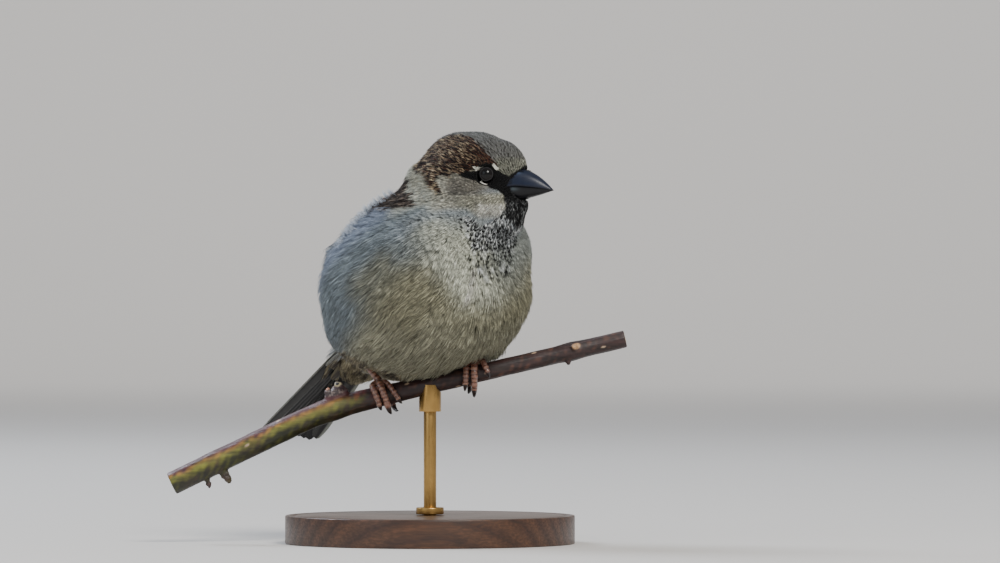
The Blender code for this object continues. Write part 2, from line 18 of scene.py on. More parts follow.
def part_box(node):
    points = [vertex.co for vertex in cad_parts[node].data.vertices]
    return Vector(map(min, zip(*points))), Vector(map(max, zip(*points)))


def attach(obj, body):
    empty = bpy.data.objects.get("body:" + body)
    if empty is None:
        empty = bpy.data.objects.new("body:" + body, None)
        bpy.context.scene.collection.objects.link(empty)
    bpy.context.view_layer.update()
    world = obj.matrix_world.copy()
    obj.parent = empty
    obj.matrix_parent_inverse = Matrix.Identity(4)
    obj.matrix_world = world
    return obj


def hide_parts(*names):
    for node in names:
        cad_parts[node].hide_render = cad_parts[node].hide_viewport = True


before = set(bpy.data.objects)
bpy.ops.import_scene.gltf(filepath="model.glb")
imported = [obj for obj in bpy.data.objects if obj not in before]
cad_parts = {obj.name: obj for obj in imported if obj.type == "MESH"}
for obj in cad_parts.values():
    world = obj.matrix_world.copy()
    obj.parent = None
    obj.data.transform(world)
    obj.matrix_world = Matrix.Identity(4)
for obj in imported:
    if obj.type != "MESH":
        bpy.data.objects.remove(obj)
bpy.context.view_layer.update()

MM = 0.001
BODY = "root"
PERCH_HEIGHT = 50 * MM
BODY_PITCH = math.radians(42)
HEAD_CENTRE = Vector((19.5, 0.0, 68.6)) * MM
BIRD_FRAME = Matrix.Translation((0, 0, PERCH_HEIGHT)) @ Matrix.Rotation(math.radians(-50), 4, "Z")
HEAD_FRAME = BIRD_FRAME @ Matrix.Translation(HEAD_CENTRE) @ Matrix.Rotation(math.radians(28), 4, "Z")
SPINE = np.array((math.cos(BODY_PITCH), 0.0, math.sin(BODY_PITCH)))
DORSAL = np.array((-math.sin(BODY_PITCH), 0.0, math.cos(BODY_PITCH)))
BODY_CENTRE = np.array((-3.0, 0.0, 33.0))
EYE_PLACE = np.array((8.0, 6.9, -2.2))
EYE_SHIFT = np.array((0.75, 0.0, 0.4))
EYE_RADIUS = 2.5
BILL_ROOT = np.array((14.0, 0.0, -5.0))
THINNING = 1.0

Array = np.ndarray
Shell = tuple[Array, Array]
Triple = tuple[float, float, float]

logging.basicConfig(level=logging.INFO, format="%(levelname)s %(message)s")
log = logging.getLogger("sparrow")


class Side(Enum):
    """The bird's own right and left, as the sign of its sideways axis."""

    RIGHT = -1
    LEFT = 1


class Slot(Enum):
    """Names for the kinds of finish on new pieces."""

    PLUMAGE = "plumage_grey"
    CROWN = "crown"
    WING = "wing_brown"
    TAIL = "tail_brown"
    BILL = "bill_horn"
    EYE = "eye"
    FOOT = "foot_skin"
    CLAW = "claw_horn"
    BARK = "bark"
    WOOD = "stand_wood"
    BRASS = "stand_brass"


# ---------------------------------------------------------------- numbers and small tools


def moved(points: Array, matrix: Matrix) -> Array:
    """Points, as rows, carried by a 4 x 4 matrix."""
    m = np.array(matrix)
    return points @ m[:3, :3].T + m[:3, 3]


def turned(vectors: Array, matrix: Matrix) -> Array:
    """Directions turned by a matrix, without its shift."""
    return vectors @ np.array(matrix)[:3, :3].T


def bird_mm(points: Array) -> Array:
    """World points in the bird's frame, in millimetres."""
    return moved(points, BIRD_FRAME.inverted()) / MM


def head_mm(points: Array) -> Array:
    """World points in the head's frame, in millimetres."""
    return moved(points, HEAD_FRAME.inverted()) / MM


def step(low: float, high: float, x: Array) -> Array:
    """A smooth rise from 0 at low to 1 at high."""
    t = np.clip((np.asarray(x, float) - low) / (high - low), 0, 1)
    return t * t * (3 - 2 * t)


def bump(x: Array, centre: float | Array, width: float) -> Array:
    """A bell of height 1 round centre."""
    return np.exp(-(((np.asarray(x, float) - centre) / width) ** 2))


def unit(vectors: Array) -> Array:
    """Vectors made one long."""
    return vectors / np.maximum(np.linalg.norm(vectors, axis=-1, keepdims=True), 1e-12)


def tint(red: float, green: float, blue: float) -> Array:
    """A display colour of 0 to 255 as linear light."""
    c = np.array((red, green, blue)) / 255
    return np.where(c <= 0.04045, c / 12.92, ((c + 0.055) / 1.055) ** 2.4)


def mix(a: Array, b: Array, share: Array) -> Array:
    """Two colours, each one for all rows or one for each row, mixed row by row with a share of b."""
    return a * (1 - share[:, None]) + b * share[:, None]


def layered(ground: Array, *layers: tuple[Array, Array]) -> Array:
    """A ground colour with more colours mixed over it in turn, each with its share."""
    for colour, share in layers:
        ground = mix(ground, colour, share)
    return ground


def along_curve(points: Sequence[Sequence[float]], t: Array) -> Array:
    """Places on a smooth curve through evenly spaced points.

    Args:
        points: The rows that the curve passes through.
        t: Places from 0 at the first row to 1 at the last.

    Returns:
        One row for each place.
    """
    rows = np.asarray(points, float)
    place = np.clip(np.asarray(t, float), 0, 1) * (len(rows) - 1)
    i = np.minimum(place.astype(int), len(rows) - 2)
    u = (place - i)[..., None]
    p0, p1 = rows[np.maximum(i - 1, 0)], rows[i]
    p2, p3 = rows[i + 1], rows[np.minimum(i + 2, len(rows) - 1)]
    m1, m2 = (p2 - p0) / 2, (p3 - p1) / 2
    start = p1 * (2 * u**3 - 3 * u**2 + 1) + m1 * (u**3 - 2 * u**2 + u)
    return start + p2 * (3 * u**2 - 2 * u**3) + m2 * (u**3 - u**2)


def read(data: bpy.types.bpy_prop_collection, name: str, width: int, kind: type = np.float32) -> Array:
    """One property of every item of a mesh's layer, as rows of that width."""
    flat = np.empty(width * len(data), kind)
    data.foreach_get(name, flat)
    return flat.reshape(-1, width)


def mesh_of(name: str, points: Array, triangles: Array) -> bpy.types.Mesh:
    """A mesh from arrays of points and triangles."""
    mesh = bpy.data.meshes.new(name)
    mesh.vertices.add(len(points))
    mesh.vertices.foreach_set("co", np.ascontiguousarray(points, np.float32).ravel())
    mesh.loops.add(3 * len(triangles))
    mesh.loops.foreach_set("vertex_index", np.ascontiguousarray(triangles, np.int32).ravel())
    mesh.polygons.add(len(triangles))
    mesh.polygons.foreach_set("loop_start", np.arange(0, 3 * len(triangles), 3, dtype=np.int32))
    mesh.polygons.foreach_set("use_smooth", np.ones(len(triangles), bool))
    mesh.update(calc_edges=True)
    return mesh


def object_of(mesh: bpy.types.Mesh) -> bpy.types.Object:
    """A new object in the scene that holds a mesh."""
    obj = bpy.data.objects.new(mesh.name, mesh)
    bpy.context.scene.collection.objects.link(obj)
    return obj


def only(obj: bpy.types.Object) -> None:
    """Makes obj the one selected and active object."""
    bpy.ops.object.select_all(action="DESELECT")
    obj.select_set(True)
    bpy.context.view_layer.objects.active = obj


def apply_modifier(obj: bpy.types.Object, kind: str, **settings: object) -> None:
    """Adds one modifier with its settings and applies it."""
    only(obj)
    modifier = obj.modifiers.new(kind.lower(), kind)
    for key, value in settings.items():
        setattr(modifier, key, value)
    bpy.ops.object.modifier_apply(modifier=modifier.name)


def coordinates(mesh: bpy.types.Mesh) -> Array:
    """A mesh's points as rows."""
    return read(mesh.vertices, "co", 3).astype(float)


def normals_of(mesh: bpy.types.Mesh) -> Array:
    """A mesh's soft normals, one for each point."""
    return read(mesh.vertex_normals, "vector", 3).astype(float)


def set_coordinates(mesh: bpy.types.Mesh, points: Array) -> None:
    """Puts a mesh's points in new places."""
    mesh.vertices.foreach_set("co", points.astype(np.float32).ravel())
    mesh.update()


def triangles_of(mesh: bpy.types.Mesh) -> Array:
    """A mesh's loop triangles as rows of point numbers."""
    mesh.calc_loop_triangles()
    return read(mesh.loop_triangles, "vertices", 3, np.int32)


def paint_points(mesh: bpy.types.Mesh, colours: Array) -> None:
    """Stores a linear colour at each point of a mesh, one for all or one for each."""
    layer = mesh.color_attributes.new("plume", "FLOAT_COLOR", "POINT")
    rows = np.ones((len(mesh.vertices), 4), np.float32)
    rows[:, :3] = np.clip(colours, 0, 1)
    layer.data.foreach_set("color", rows.ravel())


def map_points(mesh: bpy.types.Mesh, places: Array) -> None:
    """Gives a mesh its baking map from one place per point."""
    layer = mesh.uv_layers.new(name="OFBake")
    corners = read(mesh.loops, "vertex_index", 1, np.int32).ravel()
    layer.data.foreach_set("uv", places[corners].astype(np.float32).ravel())


def cad_mesh(names: Sequence[str]) -> bpy.types.Mesh:
    """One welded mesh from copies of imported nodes."""
    bm = bmesh.new()
    for name in names:
        bm.from_mesh(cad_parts[name].data)
    bmesh.ops.remove_doubles(bm, verts=bm.verts, dist=1e-6)
    mesh = bpy.data.meshes.new("form")
    bm.to_mesh(mesh)
    bm.free()
    return mesh


def nodes_like(*starts: str) -> list[str]:
    """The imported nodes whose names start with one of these."""
    return [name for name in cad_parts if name.startswith(starts)]


def tree_of(names: Sequence[str]) -> BVHTree:
    """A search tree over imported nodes."""
    mesh = cad_mesh(names)
    tree = BVHTree.FromPolygons(coordinates(mesh).tolist(), triangles_of(mesh).tolist())
    bpy.data.meshes.remove(mesh)
    return tree


def tree_over(points: Array) -> KDTree:
    """A search tree over points."""
    tree = KDTree(len(points))
    for i, point in enumerate(points):
        tree.insert(point, i)
    tree.balance()
    return tree


def outward(points: Array, triangles: Array) -> Array:
    """Closed triangles, turned over if they face inwards."""
    return triangles[:, ::-1] if np.linalg.det(points[triangles]).sum() < 0 else triangles


def lattice(rows: int, across: int, closed: bool = False) -> Array:
    """Triangles between neighbours of a grid of points.

    Args:
        rows: How many rows of points there are.
        across: How many points are in a row.
        closed: Whether each row runs round to its own start.

    Returns:
        Two triangles for each cell.
    """
    i, j = np.meshgrid(np.arange(rows - 1), np.arange(across - (not closed)), indexing="ij")
    a, b = (i * across + j).ravel(), (i * across + (j + 1) % across).ravel()
    c, d = a + across, b + across
    return np.vstack([np.stack([a, b, d], 1), np.stack([a, d, c], 1)])


def joined(shells: Sequence[Shell]) -> Shell:
    """Several shells in one pair of arrays."""
    starts = np.cumsum([0] + [len(points) for points, _ in shells])
    return np.vstack([p for p, _ in shells]), np.vstack([t + start for (_, t), start in zip(shells, starts)])


def tube_arrays(
    centres: Array,
    radii: Array,
    around: int,
    up: Sequence[float] = (0.0, 0.0, 1.0),
    relief: Callable[[Array, Array], Array] | None = None,
    cap: float = 0.5,
) -> Shell:
    """A closed tube with rounded ends round a centreline.

    Args:
        centres: The centreline, in metres.
        radii: The radius at each place of the centreline.
        around: How many points go round.
        up: The direction from which the turn round the tube is counted.
        relief: Extra radius from the place along, 0 to 1, and the turn in radians.
        cap: How far each end bulges, as a share of its radius.

    Returns:
        The tube's points and its triangles.
    """
    tangents = unit(np.gradient(centres, axis=0))
    side = unit(np.cross(tangents, np.asarray(up, float)))
    top = unit(np.cross(side, tangents))
    turns = 2 * np.pi * np.arange(around) / around
    count = len(centres)
    grown = np.repeat(radii[:, None], around, 1)
    if relief is not None:
        along = np.linspace(0, 1, count)
        grown = grown + relief(np.repeat(along[:, None], around, 1), np.repeat(turns[None, :], count, 0))
    ring = np.cos(turns)[None, :, None] * top[:, None, :] + np.sin(turns)[None, :, None] * side[:, None, :]
    points = (centres[:, None, :] + ring * grown[:, :, None]).reshape(-1, 3)
    ends = (centres[:1] - tangents[:1] * radii[0] * cap, centres[-1:] + tangents[-1:] * radii[-1] * cap)
    j = np.arange(around)
    following = (j + 1) % around
    end = (count - 1) * around
    first = np.stack([np.full(around, len(points)), following, j], 1)
    last = np.stack([np.full(around, len(points) + 1), end + j, end + following], 1)
    points = np.vstack([points, *ends])
    return points, outward(points, np.vstack([lattice(count, around, True), first, last]))


def fused(name: str, parts: Sequence[Shell], voxel: float, smoothing: int) -> bpy.types.Object:
    """Several closed shells grown into one smooth skin.

    Args:
        name: The new object's name.
        parts: The shells.
        voxel: The grain of the new skin, in metres.
        smoothing: How many rounds of smoothing it gets.

    Returns:
        The new object.
    """
    obj = object_of(mesh_of(name, *joined(parts)))
    apply_modifier(obj, "REMESH", mode="VOXEL", voxel_size=voxel, adaptivity=0.0, use_smooth_shade=True)
    if smoothing:
        apply_modifier(obj, "SMOOTH", factor=0.5, iterations=smoothing)
    return obj


def hand_over(obj: bpy.types.Object, nodes: Sequence[str] = ()) -> None:
    """Makes a finished piece ride on the bird's one body and stand for its nodes."""
    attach(obj, BODY)
    if nodes:
        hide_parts(*nodes)
    log.info("%s: %d triangles", obj.name, len(triangles_of(obj.data)))


# ---------------------------------------------------------------- finishes


class Wiring:
    """A node tree under construction, with short ways to add and join nodes."""

    def __init__(self, tree: bpy.types.NodeTree) -> None:
        """Takes the tree that the nodes go into."""
        self.tree = tree

    def feed(self, socket: bpy.types.NodeSocket, value: object) -> None:
        """Joins a socket to another, or sets its value."""
        if isinstance(value, bpy.types.NodeSocket):
            self.tree.links.new(value, socket)
        else:
            socket.default_value = value

    def node(self, kind: str, inputs: dict | None = None, **settings: object) -> bpy.types.Node:
        """Adds a node.

        Args:
            kind: Its type.
            inputs: Values or sockets for its inputs, by their names or numbers.
            **settings: Its properties.

        Returns:
            The node.
        """
        made = self.tree.nodes.new(kind)
        for key, value in settings.items():
            setattr(made, key, value)
        for key, value in (inputs or {}).items():
            self.feed(made.inputs[key], value)
        return made

    def math(self, operation: str, *values: object) -> bpy.types.NodeSocket:
        """One sum over values or sockets."""
        return self.node("ShaderNodeMath", dict(enumerate(values)), operation=operation).outputs[0]


def node_group(name: str, inputs: dict[str, object], outputs: dict[str, str]) -> tuple[Wiring, dict, dict]:
    """An empty shader node group with its sockets.

    Args:
        name: The group's name.
        inputs: Each input's default: a number, a vector or a colour.
        outputs: Each output's kind.

    Returns:
        The group's wiring, the sockets that bring its inputs and the sockets that take its outputs.
    """
    group = bpy.data.node_groups.new(name, "ShaderNodeTree")
    kinds = {1: "Float", 3: "Vector", 4: "Color"}
    for label, default in inputs.items():
        kind = f"NodeSocket{kinds[np.size(default)]}"
        group.interface.new_socket(name=label, in_out="INPUT", socket_type=kind).default_value = default
    for label, kind in outputs.items():
        group.interface.new_socket(name=label, in_out="OUTPUT", socket_type=f"NodeSocket{kind}")
    wiring = Wiring(group)
    return wiring, wiring.node("NodeGroupInput").outputs, wiring.node("NodeGroupOutput").inputs


@cache
def soft_mottle() -> bpy.types.NodeTree:
    """Lightens and darkens a colour in soft patches of a given size."""
    wiring, given, out = node_group(
        "soft_mottle",
        {"Colour": (0.5, 0.5, 0.5, 1), "Place": (0, 0, 0), "Scale": 300.0, "Amount": 0.2},
        {"Colour": "Color", "Height": "Float"},
    )
    shape = {"Vector": given["Place"], "Scale": given["Scale"], "Detail": 5}
    noise = wiring.node("ShaderNodeTexNoise", shape)
    doubled = wiring.math("MULTIPLY", wiring.math("SUBTRACT", noise.outputs["Fac"], 0.5), 2.0)
    spread = wiring.math("MULTIPLY_ADD", doubled, given["Amount"], 1.0)
    scaled = wiring.node("ShaderNodeVectorMath", {0: given["Colour"], "Scale": spread}, operation="SCALE")
    wiring.feed(out["Colour"], scaled.outputs[0])
    wiring.feed(out["Height"], noise.outputs["Fac"])
    return wiring.tree


@cache
def long_grain() -> bpy.types.NodeTree:
    """Long fine lines that run one way, as a height and a mask."""
    wiring, given, out = node_group(
        "long_grain",
        {"Place": (0, 0, 0), "Stretch": (1, 1, 1), "Scale": 300.0, "Sharpness": 2.0},
        {"Mask": "Float", "Height": "Float"},
    )
    ways = {0: given["Place"], 1: given["Stretch"]}
    drawn = wiring.node("ShaderNodeVectorMath", ways, operation="MULTIPLY").outputs[0]
    shape = {"Vector": drawn, "Scale": given["Scale"], "Detail": 6, "Distortion": 0.3}
    noise = wiring.node("ShaderNodeTexNoise", shape)
    wiring.feed(out["Mask"], wiring.math("POWER", noise.outputs["Fac"], given["Sharpness"]))
    wiring.feed(out["Height"], noise.outputs["Fac"])
    return wiring.tree


class Recipe(Wiring):
    """One material under construction round its Principled shader."""

    def __init__(self, name: str) -> None:
        """Opens a node material of that name."""
        self.material = bpy.data.materials.new(name)
        self.material.use_nodes = True
        super().__init__(self.material.node_tree)
        self.shader = self.tree.nodes["Principled BSDF"]
        self.place = self.node("ShaderNodeTexCoord").outputs["Object"]

    def stored(self, name: str) -> bpy.types.NodeSocket:
        """A colour kept at the mesh's points."""
        return self.node("ShaderNodeAttribute", attribute_name=name).outputs["Color"]

    def mottled(self, scale: float, amount: float, colour: object = None) -> bpy.types.Node:
        """A colour, by default the one stored at the points, in soft patches."""
        colour = self.stored("plume") if colour is None else colour
        inputs = {"Colour": colour, "Place": self.place, "Scale": scale, "Amount": amount}
        return self.node("ShaderNodeGroup", inputs, node_tree=soft_mottle())

    def grained(self, stretch: tuple[float, float, float], scale: float, sharpness: float) -> bpy.types.Node:
        """Long lines over the piece, squeezed along each axis."""
        inputs = {"Place": self.place, "Stretch": stretch, "Scale": scale, "Sharpness": sharpness}
        return self.node("ShaderNodeGroup", inputs, node_tree=long_grain())

    def ramp(self, value: bpy.types.NodeSocket, *stops: tuple[float, object]) -> bpy.types.NodeSocket:
        """Colours or greys spread over a value's range.

        Args:
            value: The value that picks the colour.
            *stops: Each stop's place with its linear colour or grey.

        Returns:
            The picked colour.
        """
        made = self.node("ShaderNodeValToRGB", {"Fac": value})
        elements = made.color_ramp.elements
        while len(elements) < len(stops):
            elements.new(0.5)
        for element, (place, colour) in zip(elements, stops):
            element.position = place
            element.color = (*np.broadcast_to(colour, 3), 1)
        return made.outputs["Color"]

    def blend(self, a: object, b: object, share: object, mode: str = "MIX") -> bpy.types.NodeSocket:
        """Two colours mixed.

        Args:
            a: The first colour, a socket or linear.
            b: The second colour.
            share: How much of the second, a number or a socket.
            mode: How they mix.

        Returns:
            The mixed colour.
        """
        a, b = ((*v, 1) if isinstance(v, np.ndarray) else v for v in (a, b))
        made = self.node("ShaderNodeMix", {0: share, 6: a, 7: b}, data_type="RGBA", blend_type=mode)
        return made.outputs[2]

    def raised(self, height: bpy.types.NodeSocket, strength: float, distance: float) -> None:
        """Feeds a height to the shader's normal."""
        made = self.node("ShaderNodeBump", {"Strength": strength, "Distance": distance, "Height": height})
        self.settle(Normal=made.outputs["Normal"])

    def settle(self, **values: object) -> bpy.types.Material:
        """Feeds the shader's sockets, with _ for a space in each name, and gives the material."""
        for key, value in values.items():
            self.feed(self.shader.inputs[key.replace("_", " ")], value)
        return self.material


@dataclass(frozen=True)
class PlumeFinish:
    """Soft feather barbs or the skin under them, coloured by what is stored at their points."""

    name: str
    roughness: float = 0.72
    sheen: float = 0.06
    scale: float = 900.0
    amount: float = 0.22

    def material(self) -> bpy.types.Material:
        """Builds the finish."""
        recipe = Recipe(self.name)
        colour = recipe.mottled(self.scale, self.amount).outputs["Colour"]
        return recipe.settle(
            Base_Color=colour, Roughness=self.roughness, Sheen_Weight=self.sheen, Sheen_Roughness=0.45,
            Specular_IOR_Level=0.12,
        )


@dataclass(frozen=True)
class VaneFinish:
    """Flat flight feathers: stored colours with the fine slanted lines of their barbs."""

    name: str

    def material(self) -> bpy.types.Material:
        """Builds the finish."""
        recipe = Recipe(self.name)
        shape = {"Vector": recipe.stored("barb"), "Scale": 1.0, "Distortion": 1.2}
        shape |= {"Detail": 3, "Detail Scale": 0.6}
        bands = {"wave_type": "BANDS", "bands_direction": "X", "wave_profile": "SIN"}
        lines = recipe.node("ShaderNodeTexWave", shape, **bands)
        dark = recipe.ramp(lines.outputs["Fac"], (0.0, 0.72), (1.0, 1.12))
        ink = recipe.blend(recipe.stored("plume"), dark, 1.0, "MULTIPLY")
        recipe.raised(lines.outputs["Fac"], 0.35, 0.05 * MM)
        colour = recipe.mottled(420.0, 0.25, ink).outputs["Colour"]
        return recipe.settle(
            Base_Color=colour, Roughness=0.55, Sheen_Weight=0.1, Sheen_Roughness=0.4, Specular_IOR_Level=0.4
        )


@dataclass(frozen=True)
class HornFinish:
    """Polished horn with fine growth lines, for the bill and the claws."""

    name: str
    roughness: float
    coat: float
    lines: float = 380.0

    def material(self) -> bpy.types.Material:
        """Builds the finish."""
        recipe = Recipe(self.name)
        grain = recipe.grained((0.35, 0.6, 2.2), self.lines, 2.0)
        wear = recipe.ramp(grain.outputs["Mask"], (0.1, 0.0), (0.7, 0.03))
        worn = recipe.blend(recipe.mottled(700.0, 0.25).outputs["Colour"], tint(120, 122, 126), wear)
        smooth, dull = self.roughness - 0.07, self.roughness + 0.1
        recipe.raised(grain.outputs["Height"], 0.25, 0.06 * MM)
        return recipe.settle(
            Base_Color=worn,
            Roughness=recipe.ramp(grain.outputs["Height"], (0.3, smooth), (0.7, dull)),
            Coat_Weight=self.coat, Coat_Roughness=0.22, Specular_IOR_Level=0.2,
        )


@dataclass(frozen=True)
class ScaleFinish:
    """Scaled skin of the feet: stored colours, fine wrinkles and a damp gloss on the scales."""

    name: str

    def material(self) -> bpy.types.Material:
        """Builds the finish."""
        recipe = Recipe(self.name)
        spots = recipe.mottled(1300.0, 0.35)
        fine = recipe.node(
            "ShaderNodeTexVoronoi", {"Vector": recipe.place, "Scale": 3400.0}, feature="DISTANCE_TO_EDGE"
        )
        recipe.raised(fine.outputs["Distance"], 0.25, 0.05 * MM)
        rough = recipe.ramp(spots.outputs["Height"], (0.35, 0.2), (0.7, 0.42))
        return recipe.settle(
            Base_Color=spots.outputs["Colour"], Roughness=rough, Coat_Weight=0.5, Coat_Roughness=0.18,
            Subsurface_Weight=0.08, Subsurface_Radius=(0.6 * MM, 0.3 * MM, 0.2 * MM),
        )


@dataclass(frozen=True)
class EyeFinish:
    """A wet dark eye: stored colours under a clear coat."""

    name: str

    def material(self) -> bpy.types.Material:
        """Builds the finish."""
        recipe = Recipe(self.name)
        colour = recipe.mottled(2400.0, 0.3).outputs["Colour"]
        return recipe.settle(
            Base_Color=colour, Roughness=0.3, Coat_Weight=0.45, Coat_Roughness=0.08, Specular_IOR_Level=0.08
        )


@dataclass(frozen=True)
class BarkFinish:
    """Young bark: stored colours with lengthwise cracks, dust and a slight wax bloom."""

    name: str

    def material(self) -> bpy.types.Material:
        """Builds the finish."""
        recipe = Recipe(self.name)
        cracks = recipe.grained((0.16, 1.0, 1.0), 900.0, 1.6)
        coarse = recipe.grained((0.3, 1.0, 1.0), 330.0, 2.0)
        tone = recipe.ramp(cracks.outputs["Height"], (0.3, 0.45), (0.48, 0.95), (0.7, 1.35))
        inked = recipe.blend(recipe.mottled(520.0, 0.3).outputs["Colour"], tone, 1.0, "MULTIPLY")
        dust = recipe.ramp(coarse.outputs["Mask"], (0.3, 0.0), (0.62, 0.05))
        recipe.raised(cracks.outputs["Height"], 0.7, 0.25 * MM)
        return recipe.settle(
            Base_Color=recipe.blend(inked, tint(150, 138, 122), dust),
            Roughness=recipe.ramp(coarse.outputs["Height"], (0.3, 0.38), (0.7, 0.7)),
            Coat_Weight=0.12, Coat_Roughness=0.4,
        )


@dataclass(frozen=True)
class WoodFinish:
    """Turned and oiled dark wood with year rings and pores."""

    name: str

    def material(self) -> bpy.types.Material:
        """Builds the finish."""
        recipe = Recipe(self.name)
        heartwood = {"Vector": recipe.place, "Location": (0.0, 0.11, 0.06), "Scale": (0.14, 1.0, 1.0)}
        spot = recipe.node("ShaderNodeMapping", heartwood).outputs["Vector"]
        shape = {"Vector": spot, "Scale": 70.0, "Distortion": 5.0, "Detail": 4, "Detail Scale": 0.7}
        bands = {"wave_type": "RINGS", "rings_direction": "X", "wave_profile": "SAW"}
        rings = recipe.node("ShaderNodeTexWave", shape, **bands)
        pores = recipe.grained((0.08, 1.0, 1.0), 1500.0, 2.4)
        heart, middle, rim = tint(58, 36, 24), tint(86, 56, 37), tint(66, 41, 27)
        colour = recipe.ramp(rings.outputs["Fac"], (0.0, heart), (0.6, middle), (1.0, rim))
        dark = recipe.ramp(pores.outputs["Mask"], (0.1, 0.6), (0.32, 1.05))
        recipe.raised(pores.outputs["Height"], 0.2, 0.1 * MM)
        return recipe.settle(
            Base_Color=recipe.blend(colour, dark, 1.0, "MULTIPLY"),
            Roughness=recipe.ramp(pores.outputs["Height"], (0.3, 0.5), (0.7, 0.34)),
            Coat_Weight=0.2, Coat_Roughness=0.25,
        )


@dataclass(frozen=True)
class BrassFinish:
    """Drawn brass, brushed along its length and a little tarnished."""

    name: str

    def material(self) -> bpy.types.Material:
        """Builds the finish."""
        recipe = Recipe(self.name)
        brushed = recipe.grained((1.0, 1.0, 0.05), 2600.0, 1.0)
        recipe.raised(brushed.outputs["Height"], 0.1, 0.03 * MM)
        return recipe.settle(
            Base_Color=recipe.mottled(260.0, 0.3, (*tint(178, 142, 84), 1)).outputs["Colour"],
            Roughness=recipe.ramp(brushed.outputs["Height"], (0.3, 0.24), (0.7, 0.42)),
            Metallic=1.0,
        )


@dataclass(frozen=True)
class PaperFinish:
    """Matt seamless paper for the backdrop."""

    name: str
    colour: tuple[float, float, float] = (206, 203, 199)

    def material(self) -> bpy.types.Material:
        """Builds the finish."""
        recipe = Recipe(self.name)
        return recipe.settle(
            Base_Color=recipe.mottled(1.5, 0.02, (*tint(*self.colour), 1)).outputs["Colour"], Roughness=0.9
        )


# ---------------------------------------------------------------- the bird's form and its markings


@dataclass
class BodyForm:
    """The outside of the plumage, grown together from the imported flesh, and the skin inside it."""

    voxel: float = 0.8 * MM
    smoothing: int = 18
    flesh: tuple[str, ...] = ("head", "neck", "trunk")
    tufts: tuple[tuple[Triple, Triple], ...] = (
        ((10.0, 0.0, -1.5), (10.1, 5.2, 11.2)),
        ((-14.0, -1.0, -4.4), (7.6, 7.0, 7.6)),
        ((12.4, 0.0, -16.6), (6.3, 5.2, 5.6)),
    )
    fluff: tuple[tuple[Triple, Triple], ...] = (
        ((-2.5, -0.5, 57.4), (10.5, 7.5, 5.9)),
        ((-7.5, -0.5, 55.2), (5.0, 6.5, 4.2)),
        ((-20.5, 1.5, 58.8), (5.4, 5.5, 3.7)),
        ((19.4, 2.4, 62.6), (5.2, 5.5, 4.8)),
        ((24.2, -1.8, 84.8), (8.1, 8.0, 8.0)),
    )
    outer: bpy.types.Object = field(init=False)
    points: Array = field(init=False)
    normals: Array = field(init=False)
    triangles: Array = field(init=False)
    corner_places: Array = field(init=False)
    limbs: BVHTree = field(init=False)
    walk: BVHTree = field(init=False)
    walk_points: Array = field(init=False)
    walk_normals: Array = field(init=False)
    walk_triangles: Array = field(init=False)

    def build(self) -> None:
        """Fuses the flesh and lays out the surface that feathers lie on."""
        self.outer = object_of(cad_mesh(self.flesh))
        self.outer.name = "skin"
        for lumps, place in ((self.tufts, HEAD_FRAME), (self.fluff, Matrix.Identity(4))):
            for centre, radii in lumps:
                self.outer.data = self.with_tuft(self.outer.data, centre, radii, place)
        apply_modifier(self.outer, "REMESH", mode="VOXEL", voxel_size=self.voxel, adaptivity=0.0)
        apply_modifier(self.outer, "SMOOTH", factor=0.5, iterations=self.smoothing)
        apply_modifier(self.outer, "TRIANGULATE")
        mesh, others = self.outer.data, cad_mesh(nodes_like("wing", "tail"))
        self.points, self.triangles, self.normals = coordinates(mesh), triangles_of(mesh), normals_of(mesh)
        self.walk_points = np.vstack([self.points, coordinates(others)])
        self.walk_normals = np.vstack([self.normals, normals_of(others)])
        self.walk_triangles = np.vstack([self.triangles, triangles_of(others) + len(self.points)])
        bpy.data.meshes.remove(others)
        self.walk = BVHTree.FromPolygons(self.walk_points.tolist(), self.walk_triangles.tolist())
        self.limbs = tree_of(nodes_like("tail", "tarsus"))

    @staticmethod
    def with_tuft(mesh: bpy.types.Mesh, centre: Triple, radii: Triple, place: Matrix) -> bpy.types.Mesh:
        """The flesh with one rounded tuft more, given in millimetres in some frame."""
        around, rows = 48, 24
        turns, tilts = np.linspace(0, 2 * np.pi, around + 1)[:-1], np.linspace(0, np.pi, rows + 2)[1:-1, None]
        level = np.broadcast_to(np.cos(tilts), (rows, around))
        ball = np.stack([np.sin(tilts) * np.cos(turns), np.sin(tilts) * np.sin(turns), level], 2)
        ball = np.vstack([ball.reshape(-1, 3), (0, 0, 1), (0, 0, -1)]) * np.array(radii) + np.array(centre)
        i, j = np.meshgrid(np.arange(rows - 1), np.arange(around), indexing="ij")
        a, b = (i * around + j).ravel(), (i * around + (j + 1) % around).ravel()
        j = np.arange(around)
        following, end = (j + 1) % around, (rows - 1) * around
        triangles = np.vstack([
            np.stack([a, a + around, b], 1),
            np.stack([b, a + around, b + around], 1),
            np.stack([j, following, np.full(around, len(ball) - 2)], 1),
            np.stack([following + end, j + end, np.full(around, len(ball) - 1)], 1),
        ])
        shells = (coordinates(mesh), triangles_of(mesh)), (moved(ball * MM, place), outward(ball, triangles))
        return mesh_of("flesh", *joined(shells))

    def landed(self, places: Array) -> Shell:
        """The nearest points of the surface that feathers lie on, and its soft normals there."""
        found = [self.walk.find_nearest(place) for place in places]
        faces = np.array([hit[2] for hit in found])
        spots = np.array([hit[0] for hit in found])
        return spots, unit(self.walk_normals[self.walk_triangles[faces]].mean(1))


def from_bill(head: Array) -> Array:
    """How far places in the head's frame lie from the bill's root."""
    return np.linalg.norm(head - BILL_ROOT, axis=1)


def from_eye(head: Array) -> Array:
    """The ways from the eye of the same side to places in the head's frame, as if on the left."""
    return np.stack([head[:, 0], np.abs(head[:, 1]), head[:, 2]], 1) - EYE_PLACE


